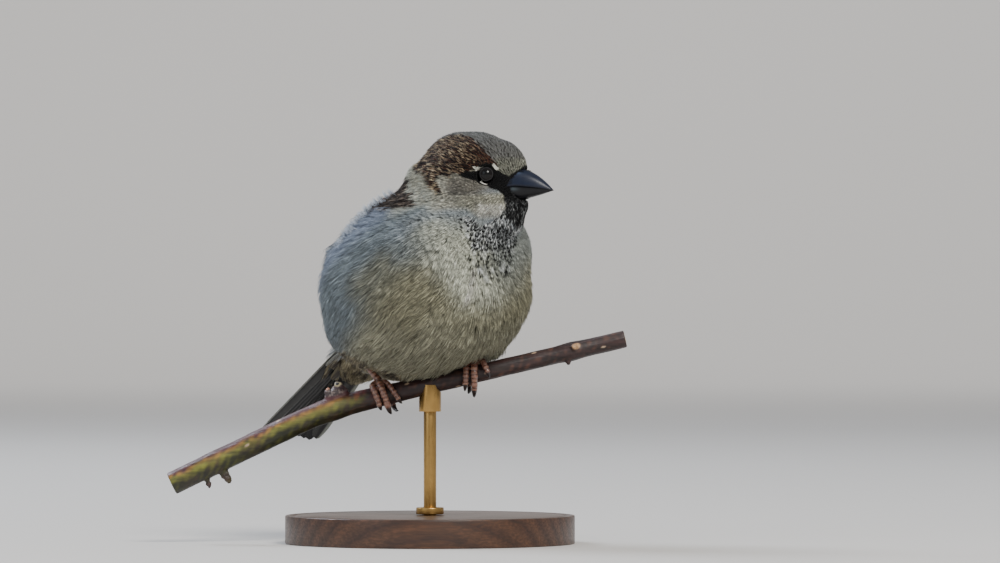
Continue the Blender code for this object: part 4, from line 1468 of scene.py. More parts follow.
    def strand_colours(
        self, middles: list[Array], tips: Array, owner: Array, rng: np.random.Generator
    ) -> Array:
        """Linear colours at the points of each strand, ring by ring, from the markings where it shows."""
        total = len(owner)
        near, marks = plumage_colours(middles[-1], self.scales)
        far, _ = plumage_colours(tips, self.scales)
        crisp = marks["bib"] + marks["mask"] + marks["whites"] + 0.7 * marks["rufous"] + marks["back"]
        loose = 1 - 0.75 * np.clip(crisp, 0, 1)
        tone = 1 + rng.normal(0, 0.2, total) * loose
        tone = tone + rng.normal(0, 0.09, int(owner.max()) + 1)[owner] * loose
        lot = rng.random(total)
        tone *= np.where(lot < 0.14, 1 - 0.5 * loose, np.where(lot > 0.9, 1 + 0.35 * loose, 1.0))
        rows = [near * 0.45] + [near * 0.9] * (3 * (len(middles) - 1)) + [near, near, near * 1.05, far * 1.05]
        tone = np.clip(tone, 0.3, 1.7)
        return np.clip(np.stack(rows, 1) * tone[:, None, None], 0, 0.95).reshape(-1, 3)

    def build(self, finish: bpy.types.Material) -> None:
        """Grows every tract and hands its pieces over."""
        rng = np.random.default_rng(self.seed + 1)
        feathers = Feathers.together([self.rooted()] + [w.shoulder_roots(self) for w in self.wings])
        count = len(feathers.roots)
        fluffy = bump(bird_mm(feathers.roots)[:, 2], 48, 12) * step(2, 10, -bird_mm(feathers.roots)[:, 1])
        feathers.lift = rng.normal(0, 0.05, count) * feathers.depth + 0.25 * fluffy
        spots, normals = self.routes(feathers, rng)
        marks = MARKINGS.paint(feathers.roots)
        ruffled = bump(marks["turn"], 44, 15) * bump(marks["lengthwise"], 13, 11)
        feathers.lift += ruffled * np.abs(rng.normal(0, 0.6, count))
        tracts = self.tract_of(feathers, marks)
        for tract in Tract:
            rows = np.flatnonzero(tracts == tract)
            pieces = int(np.ceil(self.strand_counts(feathers.taken(rows)).sum() * 12 / self.most_triangles))
            order = rows[np.argsort(feathers.roots[rows, 2] + 0.3 * feathers.roots[rows, 0])]
            for number, part in enumerate(np.array_split(order, pieces)):
                shell, colours, where = self.barbs(feathers.taken(part), spots[part], normals[part], rng)
                name = tract.value if pieces == 1 else f"{tract.value}_{number + 1}"
                shown(name, shell, colours, finish, where)
        self.wisps(finish, rng)
        for side in Side:
            self.crescent(finish, side)
        log.info("coat: %d feathers, %d strands", count, int(feathers.strands.sum()))

    def crescent(
        self, finish: bpy.types.Material, side: Side, radius: float = 2.9, thick: float = 0.2
    ) -> None:
        """Sets the thin white crescent behind and below one eye.

        Args:
            finish: The plumage's finish.
            side: Which eye.
            radius: How far from the eye's middle it runs, in millimetres.
            thick: Half its greatest thickness, in millimetres.
        """
        share = np.linspace(0, 1, 28)
        turn, reach = np.radians(206 + 70 * share), radius + 0.3 * share
        inward = turned(np.array([[0.0, -side.value, 0.0]]), HEAD_FRAME)[0]
        line = []
        for x, z in zip(8.9 + reach * np.cos(turn), -1.8 + reach * np.sin(turn)):
            start = moved(np.array([[x, side.value * 14.0, z]]) * MM, HEAD_FRAME)[0]
            spot, normal, _, _ = self.form.walk.ray_cast(start, inward)
            line.append(np.array(spot) + np.array(normal) * 0.1 * MM)
        radii = (thick * np.sin(np.pi * np.clip(share, 0.02, 0.98)) ** 0.6 + 0.02) * MM
        shell = tube_arrays(np.array(line), radii, 8, up=-inward)
        name, where = f"lid_crescent_{side.name.lower()}", self.nearest_places(shell[0])
        shown(name, shell, MARKINGS.white * 0.9, finish, where)

    def wisps(self, finish: bpy.types.Material, rng: np.random.Generator, count: int = 170) -> None:
        """Stands fine pale barbs up where the right shoulder's plumage is ruffled; their bluish white tips
        are partly their own pale grey, partly a painted rim highlight.
        """
        corners = self.form.walk_points[self.form.walk_triangles]
        bx, by, bz = bird_mm(corners.mean(1)).T
        n = unit(self.form.walk_normals[self.form.walk_triangles].mean(1))
        line = np.interp(bz, (42, 47, 51, 54.5, 57.7, 60.6), (-29, -26.6, -24, -20.4, -16.5, -12.5))
        weight = areas_of(corners) * bump(by - line, 0, 1.9) * step(41, 46, bz) * step(62, 59, bz)
        weight *= step(-24, -12, bx)
        weight *= step(4, -1, bx) * step(-0.1, 0.1, n[:, 2]) * step(0.4, 0.2, np.abs(n[:, 1]))
        faces = rng.choice(len(corners), count, p=weight / weight.sum())
        roots, normals = within(corners[faces], rng.dirichlet((1, 1, 1), count)), n[faces]
        flow = feather_flow(roots, normals)
        length = rng.uniform(1.2, 3.6, count)
        out = rng.uniform(0.5, 1.3, count)[:, None]
        up = np.array((0.0, 0.0, 1.0))
        spots = [roots - normals * 0.3 * MM]
        for k in range(self.bends - 1):
            way = unit(flow * 0.45 + normals * out + up * (0.25 + 0.14 * k) + rng.normal(0, 0.06, (count, 3)))
            spots.append(spots[-1] + way * (length * MM / (self.bends - 1))[:, None])
        width = rng.uniform(0.5, 1.6, count)
        sizes = np.full(count, 0.7), width, np.full(count, 0.05), rng.integers(3, 6, count), np.zeros(count)
        tufts = Feathers(roots, normals, self.nearest_places(roots), *sizes)
        lay = np.broadcast_to(normals[:, None], (count, self.bends, 3))
        shell, _, where = self.barbs(tufts, np.stack(spots, 1), lay, rng)
        share = np.tile(np.array((0.0, 0.5, 0.5, 0.5, 1.0)), len(where) // 5)
        # Pale bluish white towards each tip: partly the barbs' own colour, partly a painted rim highlight.
        colours = mix(MARKINGS.shoulder, tint(204, 212, 222), share)
        shown("coat_wisps", shell, colours, finish, where)


@dataclass
class Skin:
    """The bare skin under the coat, standing for the head, neck and trunk."""

    form: BodyForm

    def unwrap(self) -> None:
        """Lays the skin's own shape out flat, for its map and for the coat's roots."""
        only(self.form.outer)
        mesh = self.form.outer.data
        mesh.uv_layers.new(name="OFBake")
        bpy.ops.object.mode_set(mode="EDIT")
        bpy.ops.mesh.select_all(action="SELECT")
        bpy.ops.uv.smart_project(angle_limit=math.radians(66), island_margin=0.004)
        bpy.ops.object.mode_set(mode="OBJECT")
        self.form.corner_places = read(mesh.uv_layers["OFBake"].data, "uv", 2).reshape(-1, 3, 2).astype(float)

    def build(self, finish: bpy.types.Material, scales: FeatherMap) -> None:
        """Draws the skin in by the coat's depth, marks it and hands it over."""
        obj = self.form.outer
        depth = coat_depth(self.form.points) * MM
        set_coordinates(obj.data, self.form.points - self.form.normals * depth[:, None])
        paint_points(obj.data, plumage_colours(self.form.points, scales)[0] * 0.5)
        obj.data.materials.append(finish)
        obj.data.polygons.foreach_set("use_smooth", np.ones(len(obj.data.polygons), bool))
        hand_over(obj, self.form.flesh)


# ---------------------------------------------------------------- wings and tail


@dataclass(frozen=True)
class VanePattern:
    """How one kind of flight feather or covert is coloured, as display colours."""

    ground: Triple
    edge: Triple
    tip: Triple
    edge_from: float = 0.7
    tip_from: float = 0.95
    inner_edge: float = 0.35

    def colours(self, s: Array, u: Array) -> Array:
        """Linear colours over one vane.

        Args:
            s: Places along it, 0 at the root and 1 at the tip.
            u: Places across it, -1 at the inner edge and 1 at the outer.

        Returns:
            One row for each place.
        """
        edge = step(self.edge_from, min(self.edge_from + 0.25, 1.0), np.abs(u))
        edge = np.where(u < 0, edge * self.inner_edge, edge) * step(0.05, 0.3, s)
        tip = step(self.tip_from, self.tip_from + 0.08, s - 0.05 * (1 - np.abs(u)))
        ground = tint(*self.ground) * (0.75 + 0.35 * s)[:, None]
        shaft = (1 - 0.35 * bump(u, 0, 0.07))[:, None]
        return layered(ground, (tint(*self.edge), edge), (tint(*self.tip), tip)) * shaft


class Pattern(Enum):
    """The kinds of vane on the wings and tail."""

    PRIMARY = VanePattern((62, 52, 47), (150, 122, 94), (120, 104, 88), 0.66, 0.97, 0.15)
    SECONDARY = VanePattern((60, 49, 43), (158, 112, 74), (140, 118, 96), 0.5, 0.95, 0.2)
    TERTIAL = VanePattern((40, 33, 30), (168, 120, 80), (178, 150, 118), 0.52, 0.93, 0.9)
    GREATER = VanePattern((38, 31, 28), (156, 98, 60), (186, 160, 126), 0.42, 0.88, 0.9)
    PRIMARY_COVERT = VanePattern((52, 43, 38), (138, 104, 76), (120, 100, 80), 0.7, 0.95, 0.5)
    MEDIAN = VanePattern((24, 21, 20), (232, 228, 216), (238, 235, 226), 0.86, 0.6, 0.9)
    LESSER = VanePattern((112, 60, 36), (132, 76, 48), (124, 72, 46), 0.6, 0.9, 0.9)
    UNDERTAIL = VanePattern((62, 52, 39), (118, 110, 86), (108, 100, 78), 0.4, 0.93, 0.95)
    UNDERTAIL_SIDE = VanePattern((132, 134, 128), (172, 174, 168), (168, 170, 164), 0.4, 0.93, 0.95)
    UPPERTAIL = VanePattern((76, 68, 58), (104, 94, 80), (98, 88, 76), 0.6, 0.92, 0.9)
    TAIL = VanePattern((24, 20, 18), (66, 58, 49), (50, 44, 38), 0.86, 0.98, 0.35)
    TAIL_OUTER = VanePattern((36, 32, 30), (160, 162, 152), (118, 114, 104), 0.25, 0.97, 0.12)


def plate(tops: Sequence[Array], lows: Sequence[Array], rows: int, across: int) -> Shell:
    """A thin closed plate between an upper and a lower grid of points."""
    grid, half = np.arange(rows * across).reshape(rows, across), rows * across
    rim = np.concatenate([grid[0], grid[1:, -1], grid[-1, -2::-1], grid[-2:0:-1, 0]])
    after, face = np.roll(rim, -1), lattice(rows, across)
    sides = [np.stack([rim, rim + half, after], 1), np.stack([after, rim + half, after + half], 1)]
    points = np.array([*tops, *lows])
    return points, outward(points, np.vstack([face, face[:, ::-1] + half, *sides]))


@dataclass
class VaneSheet:
    """Collects thin closed feathers into one mesh, each with a flat place of its own in the map."""

    name: str
    cells: int = 12
    shells: list[Shell] = field(default_factory=list)
    colours: list[Array] = field(default_factory=list)
    places: list[Array] = field(default_factory=list)
    barbs: list[Array] = field(default_factory=list)

    def add(
        self, surface: Callable[[float, float], Shell], length: float, inner: float, outer: float,
        pattern: Pattern, rows: int = 18, across: int = 9, point: float = 0.5,
        camber: float = 0.35, ragged: float = 0.02, stem: float = 0.3,
    ) -> None:
        """Adds one feather.

        Args:
            surface: Gives the point and the outward normal at a place along and a sideways step in mm.
            length: Its length in millimetres, for the barbs' spacing.
            inner: The inner vane's width in millimetres.
            outer: The outer vane's width in millimetres.
            pattern: Its colours.
            rows: How many rows of points run along it.
            across: How many points run across it.
            point: How far from the tip, as a share of the width, the rounding starts.
            camber: How far its edges curl down, in millimetres.
            ragged: How uneven its edges are.
            stem: The shaft's thickness in millimetres.
        """
        number = len(self.shells)
        rng = np.random.default_rng(1000 + number)
        round_from = 1 - point * 2 * (inner + outer) / length
        rest = 1 - round_from
        s = np.linspace(0, 1, rows) ** 0.9
        s = np.where(s > round_from, round_from + rest * np.sin((s - round_from) / rest * np.pi / 2), s)
        tip = np.clip((s - round_from) / rest, 0, 1)
        profile = np.interp(s, (0, 0.08, 0.3, 1), (0.25, 0.6, 1.0, 0.97))
        profile = profile * np.sqrt(np.clip(1 - tip**2.2, 0, 1))
        tops, lows, where = [], [], []
        for place, reach in zip(s, np.maximum(profile, 0.03)):
            for side in np.linspace(-1, 1, across):
                width = (outer if side > 0 else inner) * reach
                out = side * width * (1 + ragged * rng.normal() * (abs(side) > 0.9))
                centre, normal = surface(place, out)
                shaft = stem * (1 - 0.75 * place) * math.exp(-((side / 0.1) ** 2))
                thick = 0.05 + 0.05 * (1 - abs(side)) + shaft * 0.5
                drop = camber * side * side
                tops.append(centre + normal * (thick - drop) * MM)
                lows.append(centre - normal * (thick * 0.8 + drop) * MM)
                where.append((place, side, place * length - abs(out) * 1.15))
        s, u, barb = np.array(where * 2).T
        below = np.arange(len(s)) >= len(where)
        cell = np.array((number % self.cells, number // self.cells), float)
        inside = np.stack([0.04 + 0.44 * (u + 1) / 2 + below * 0.5, 0.05 + 0.9 * s], 1)
        # Each feather's underside is painted darker than its top as painted shade; the random factor is the
        # feather's own tone.
        shade = np.where(below, 0.78, 1.0) * rng.normal(1, 0.05)
        self.shells.append(plate(tops, lows, rows, across))
        self.colours.append(pattern.value.colours(s, u) * shade[:, None])
        self.places.append((cell + inside) / self.cells)
        self.barbs.append(np.stack([barb * 1.12, u, s], 1))

    def finish(self, material: bpy.types.Material, slot: Slot, nodes: Sequence[str]) -> None:
        """Makes the mesh of all feathers so far and hands it over."""
        mesh = mesh_of(self.name, *joined(self.shells))
        paint_points(mesh, np.concatenate(self.colours))
        layer = mesh.attributes.new("barb", "FLOAT_VECTOR", "POINT")
        layer.data.foreach_set("vector", np.concatenate(self.barbs).astype(np.float32).ravel())
        map_points(mesh, np.concatenate(self.places))
        mesh.materials.append(material)
        hand_over(object_of(mesh), nodes)


@dataclass
class Wing:
    """One folded wing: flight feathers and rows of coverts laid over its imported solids."""

    side: Side
    stations: tuple[tuple[float, float, float, float], ...] = (
        (15.0, 19.0, 0.0, 2.0),
        (12.0, 22.0, 0.0, 4.8),
        (6.0, 25.5, 0.0, 7.4),
        (-2.0, 28.5, 0.0, 8.6),
        (-10.0, 29.0, 0.0, 9.0),
        (-17.0, 27.0, 0.3, 8.6),
        (-24.0, 21.0, 1.8, 7.4),
        (-31.0, 12.0, 3.8, 6.0),
        (-38.0, 5.0, 4.6, 4.4),
        (-45.0, 0.0, 4.4, 2.9),
        (-51.0, 0.0, 4.1, 1.2),
    )
    primary_reaches: tuple[float, ...] = (0.985, 0.995, 0.965, 0.93, 0.89, 0.85, 0.81, 0.775, 0.74)
    lesser_rows: tuple[tuple[float, int], ...] = (
        (0.125, 11), (0.1, 11), (0.075, 10), (0.05, 10), (0.025, 9), (0.0, 8),
    )
    nodes: list[str] = field(init=False)
    tree: BVHTree = field(init=False)
    height: float = field(default=0.0, init=False)

    def __post_init__(self) -> None:
        """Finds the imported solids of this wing."""
        name = self.side.name.lower()
        self.nodes = [f"wing_{name}_{part}" for part in ("coverts", "secondaries", "primaries")]
        self.tree = tree_of(self.nodes)

    def covers(self, place: Vector, normal: Vector) -> bool:
        """Whether the wing lies over a point of the body."""
        return self.tree.ray_cast(place - normal * 0.2 * MM, normal, 3.6 * MM)[0] is not None

    def surface(self, t: float, v: float, rise: float = 0.0) -> Shell:
        """A point on the wing's upper side.

        Args:
            t: The place along, 0 at the bend and 1 at the tip.
            v: The place across, -1 at the inner edge and 1 at the outer.
            rise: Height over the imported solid, in millimetres.

        Returns:
            The point in the world, in metres, and the outward direction there.
        """
        along, turn, shift, half = along_curve(self.stations, np.array([t]))[0]
        angle = math.radians(turn)
        sideways = np.array((0.0, self.side.value, 0.0))
        out = DORSAL * math.cos(angle) + sideways * math.sin(angle)
        across = sideways * math.cos(angle) - DORSAL * math.sin(angle)
        centre = BODY_CENTRE + SPINE * along + across * (shift + v * half)
        held = BODY_CENTRE + SPINE * along + across * (shift + np.clip(v, -0.93, 0.93) * half)
        way = BIRD_FRAME.to_3x3() @ Vector(out)
        hit = self.tree.ray_cast(BIRD_FRAME @ Vector((held + out * 60) * MM), -way)[0]
        if hit is not None:
            self.height = float((bird_mm(np.array(hit)[None])[0] - held) @ out)
        normal = unit(out + across * (np.clip(v, -1.3, 1.3) * 0.35))
        drop = max(abs(v) - 0.93, 0) * half * 0.5
        point = moved(((centre + out * (self.height + rise - drop)) * MM)[None], BIRD_FRAME)[0]
        return point, turned(normal[None], BIRD_FRAME)[0]

    def feather(
        self, sheet: VaneSheet, pattern: Pattern, root: tuple[float, float], tip: tuple[float, float],
        widths: tuple[float, float], rise: tuple[float, float], rows: int, across: int, point: float,
        bow: float = 0.0,
    ) -> None:
        """Lays one feather from its root to its tip, each a place (t, v) on the wing.

        Args:
            sheet: The mesh that it joins.
            pattern: Its colours.
            root: Where it starts.
            tip: Where it ends.
            widths: Its inner and outer vanes' widths in millimetres.
            rise: Its height over the solid at the root and at the tip, in millimetres.
            rows: Rows of points along it.
            across: Points across it.
            point: How long its tip's rounding is.
            bow: How far its middle bends outwards, as a share of the wing's half width.
        """
        ends, places = np.array([root, tip], float), np.linspace(0, 1, 41)
        halves = along_curve(self.stations, places)[:, 3]
        start, stop = (moved((self.surface(*end)[0])[None], BIRD_FRAME.inverted())[0] for end in (root, tip))
        length = float(np.linalg.norm(start - stop)) / MM

        def lay(s: float, out: float) -> Shell:
            """The feather's middle at a place along it, or a step aside."""
            t, v = ends[0] * (1 - s) + ends[1] * s
            v = v + bow * math.sin(math.pi * s)
            half = float(np.interp(t, places, halves))
            return self.surface(t, v + out / half, rise[0] * (1 - s) + rise[1] * s)

        sheet.add(lay, length, *widths, pattern, rows, across, point, camber=0.25)

    def flight_feathers(self, sheet: VaneSheet) -> None:
        """Lays the primaries, secondaries and tertials."""
        for k, reach in enumerate(self.primary_reaches):
            root, tip = (0.36 + 0.006 * k, 0.5 - 0.05 * k), (reach, 0.55 - 0.085 * k)
            rise = (-0.95 + 0.07 * k, -0.95 + 0.07 * k + 0.1)
            self.feather(sheet, Pattern.PRIMARY, root, tip, (3.0, 1.35), rise, 22, 9, 0.9, 0.1)
        for k in range(6):
            root, tip = (0.24, 0.62 - 0.13 * k), (0.67 - 0.012 * k, 0.5 - 0.14 * k)
            rise = (-0.6 + 0.07 * k, -0.6 + 0.07 * k + 0.05)
            self.feather(sheet, Pattern.SECONDARY, root, tip, (3.2, 1.7), rise, 18, 9, 0.5, 0.06)
        for k in range(3):
            root, tip = (0.2, -0.3 - 0.13 * k), (0.6 - 0.055 * k, -0.3 - 0.17 * k)
            rise = (-0.18 + 0.14 * k, -0.18 + 0.14 * k + 0.05)
            self.feather(sheet, Pattern.TERTIAL, root, tip, (3.3, 2.9), rise, 18, 11, 0.7, 0.04)

    def coverts(self, sheet: VaneSheet) -> None:
        """Lays the rows of coverts, from the primaries' own up to the smallest at the bend."""
        for k in range(6):
            root, tip = (0.3 + 0.004 * k, 0.92 - 0.05 * k), (0.47 - 0.006 * k, 0.86 - 0.07 * k)
            rise = -0.3 + 0.05 * k
            self.feather(sheet, Pattern.PRIMARY_COVERT, root, tip, (1.6, 1.0), (rise, rise), 10, 7, 0.7)
        for k in range(10):
            v, rise = 0.74 - 0.155 * k, -0.1 + 0.05 * k
            tip = (0.375 + 0.012 * math.sin(k * 0.5), v - 0.03)
            self.feather(sheet, Pattern.GREATER, (0.15, v), tip, (2.1, 1.9), (rise - 0.3, rise), 14, 9, 0.55)
        for k in range(9):
            v, rise = 0.76 - 0.18 * k, -0.1 + 0.02 * k
            tip = (0.228 + 0.006 * math.sin(k), v - 0.02)
            self.feather(sheet, Pattern.MEDIAN, (0.1, v), tip, (2.3, 2.2), (-0.6, rise), 10, 9, 0.6)
        rng = np.random.default_rng(7)
        for row, (place, count) in enumerate(self.lesser_rows):
            rise = -0.55 + 0.05 * row
            for k in range(count):
                v = 0.86 - 1.72 * (k + 0.5 * (row % 2)) / count + rng.normal(0, 0.03)
                root, tip = (max(place - 0.01, 0), v), (place + 0.06 + rng.normal(0, 0.004), v)
                self.feather(sheet, Pattern.LESSER, root, tip, (1.2, 1.2), (rise - 0.3, rise), 6, 5, 0.6)

    def arm(self) -> Shell:
        """The wing's own flesh under the feathers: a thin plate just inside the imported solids."""
        rows, across = 30, 9
        spots = [(t, v) for t in np.linspace(0.02, 0.93, rows) for v in np.linspace(-0.86, 0.86, across)]
        tops, lows = zip(*[(self.surface(t, v, -1.0)[0], self.surface(t, v, -1.45)[0]) for t, v in spots])
        return plate(tops, lows, rows, across)

    def build(self, vane: bpy.types.Material, plume: bpy.types.Material) -> None:
        """Makes the wing's feathers, from the lowest layer up."""
        name = self.side.name.lower()
        flight = VaneSheet(f"wing_{name}_flight_feathers")
        self.flight_feathers(flight)
        flight.finish(vane, Slot.WING, self.nodes[1:])
        coverts = VaneSheet(f"wing_{name}_coverts_dressed")
        self.coverts(coverts)
        coverts.finish(vane, Slot.WING, self.nodes[:1])
        shown(f"wing_{name}_arm", self.arm(), tint(58, 48, 42), plume)

    def shoulder_roots(self, coat: Coat) -> Feathers:
        """Roots of the body feathers that lap over the wing's inner and outer edges."""
        rng = np.random.default_rng(23 + self.side.value)
        spots, normals, scale = [], [], []
        for _ in range(5200):
            t, v = rng.uniform(0, 0.62), rng.uniform(-1.05, 1.05)
            inner = v < -0.42 - 0.5 * t and t < 0.42
            if inner or v > 0.3 + 0.45 * step(0.12, 0.5, t) or t < 0.135:
                point, normal = self.surface(t, v, -0.25)
                spots.append(point)
                normals.append(normal)
                scale.append(0.72 if inner else 0.85)
        spots = np.array(spots)
        return coat.thinned(spots, np.array(normals), coat.nearest_places(spots), np.array(scale))


@dataclass
class Tail:
    """Twelve tail feathers in a closed fan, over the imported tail."""

    root: Triple = (-24.0, 0.0, 20.5)
    length: float = 57.0
    droop: float = math.radians(40.5)
    swing: float = math.radians(8)
    roll: float = math.radians(9)
    spread: float = math.radians(6)
    root_half_width: float = 6.5
    feathers: int = 12
    along: Array = field(init=False)
    across: Array = field(init=False)
    up: Array = field(init=False)
    out_way: Array = field(init=False)

    def __post_init__(self) -> None:
        """Finds the ways down the tail, to its left and out of its upper side, in the bird's frame."""
        turn = Matrix.Rotation(self.swing, 3, "Z")
        along = turn @ Vector((-math.cos(self.droop), 0, -math.sin(self.droop)))
        across = Matrix.Rotation(self.roll, 3, along) @ turn @ Vector((0, 1, 0))
        self.along, self.across, self.up = (np.array(v) for v in (along, across, across.cross(along)))
        self.out_way = turned(self.up[None], BIRD_FRAME)[0]

    def spot(self, far: float, place: float, rise: float) -> Array:
        """A world point so far down the tail, so far to its left and so far over its arched upper side."""
        arch = -1.3 * (place / 12.5) ** 2
        point = np.array(self.root) + self.along * far + self.across * place
        return moved(((point + self.up * (arch + rise)) * MM)[None], BIRD_FRAME)[0]

    def build(self, vane: bpy.types.Material) -> None:
        """Makes the feathers, the middle pair on top."""
        sheet = VaneSheet("tail_feathers")
        half = self.feathers // 2
        for number in range(self.feathers):
            k = number - half + 0.5
            edge, side = k / half, math.copysign(1.0, k)
            notch = 1 - 0.035 * math.exp(-((abs(edge) / 0.3) ** 2)) - 0.03 * step(0.75, 1.0, abs(edge))
            reach = self.length * float(notch)
            height = 0.2 * (half - abs(k)) / 2 * 1.6 - 0.25
            angle = edge * self.spread

            def lay(s: float, out: float) -> Shell:
                """The feather's middle at a place along it, or a step aside."""
                place = edge * self.root_half_width + math.sin(angle) * reach * s + side * out
                place += 0.5 * side * s * s
                return self.spot(reach * math.cos(angle) * s, place, height * (1 - 0.3 * s)), self.out_way

            pattern = Pattern.TAIL_OUTER if abs(k) > half - 1 else Pattern.TAIL
            inner, outer = (3.9, 1.7) if abs(k) > 1 else (3.2, 2.6)
            sheet.add(lay, reach, inner, outer, pattern, 26, 11, 0.6, camber=0.15, stem=0.5)
        rng = np.random.default_rng(3)
        self.coverts(sheet, rng, True, 13, 1.05, 29.0)
        self.coverts(sheet, rng, False, 11, 1.15, 17.0)
        sheet.finish(vane, Slot.TAIL, ["tail"])

    def coverts(
        self, sheet: VaneSheet, rng: np.random.Generator, below: bool, count: int, gap: float, far: float
    ) -> None:
        """Adds the long soft coverts under the tail's root or the shorter ones over it.

        Args:
            sheet: The mesh that they join.
            rng: Where their small differences come from.
            below: Whether they lie under the tail.
            count: How many are in a row.
            gap: How far apart they are, in millimetres.
            far: How far the middle one reaches, in millimetres.
        """
        for row in range(2):
            for number in range(count):
                k = number - (count - 1) / 2
                reach = far - 4.5 * row - 0.9 * abs(k) ** 1.25 + rng.normal(0, 0.8)
                drift = rng.normal(0, 0.4)

                def lay(s: float, out: float) -> Shell:
                    """The feather's middle at a place along it, or a step aside."""
                    lift = 0.75 + 0.35 * row + 2.6 * (1 - s) ** 1.3 + 0.02 * abs(k)
                    place = k * gap * (0.8 + 0.35 * s) + drift * s + out
                    point = self.spot(3.0 + (reach - 3.0) * s, place, -lift if below else lift - 0.2)
                    return point, -self.out_way if below else self.out_way

                side = Pattern.UNDERTAIL_SIDE if abs(k) > 5 else Pattern.UNDERTAIL
                pattern = side if below else Pattern.UPPERTAIL
                sheet.add(lay, reach, 2.1, 2.1, pattern, 14, 9, 1.3, camber=0.2, ragged=0.16, stem=0.2)


# ---------------------------------------------------------------- bill, eyes and feet


def on_head(points: Array) -> Array:
    """World points from the head's frame in millimetres."""
    return moved(points * MM, HEAD_FRAME)


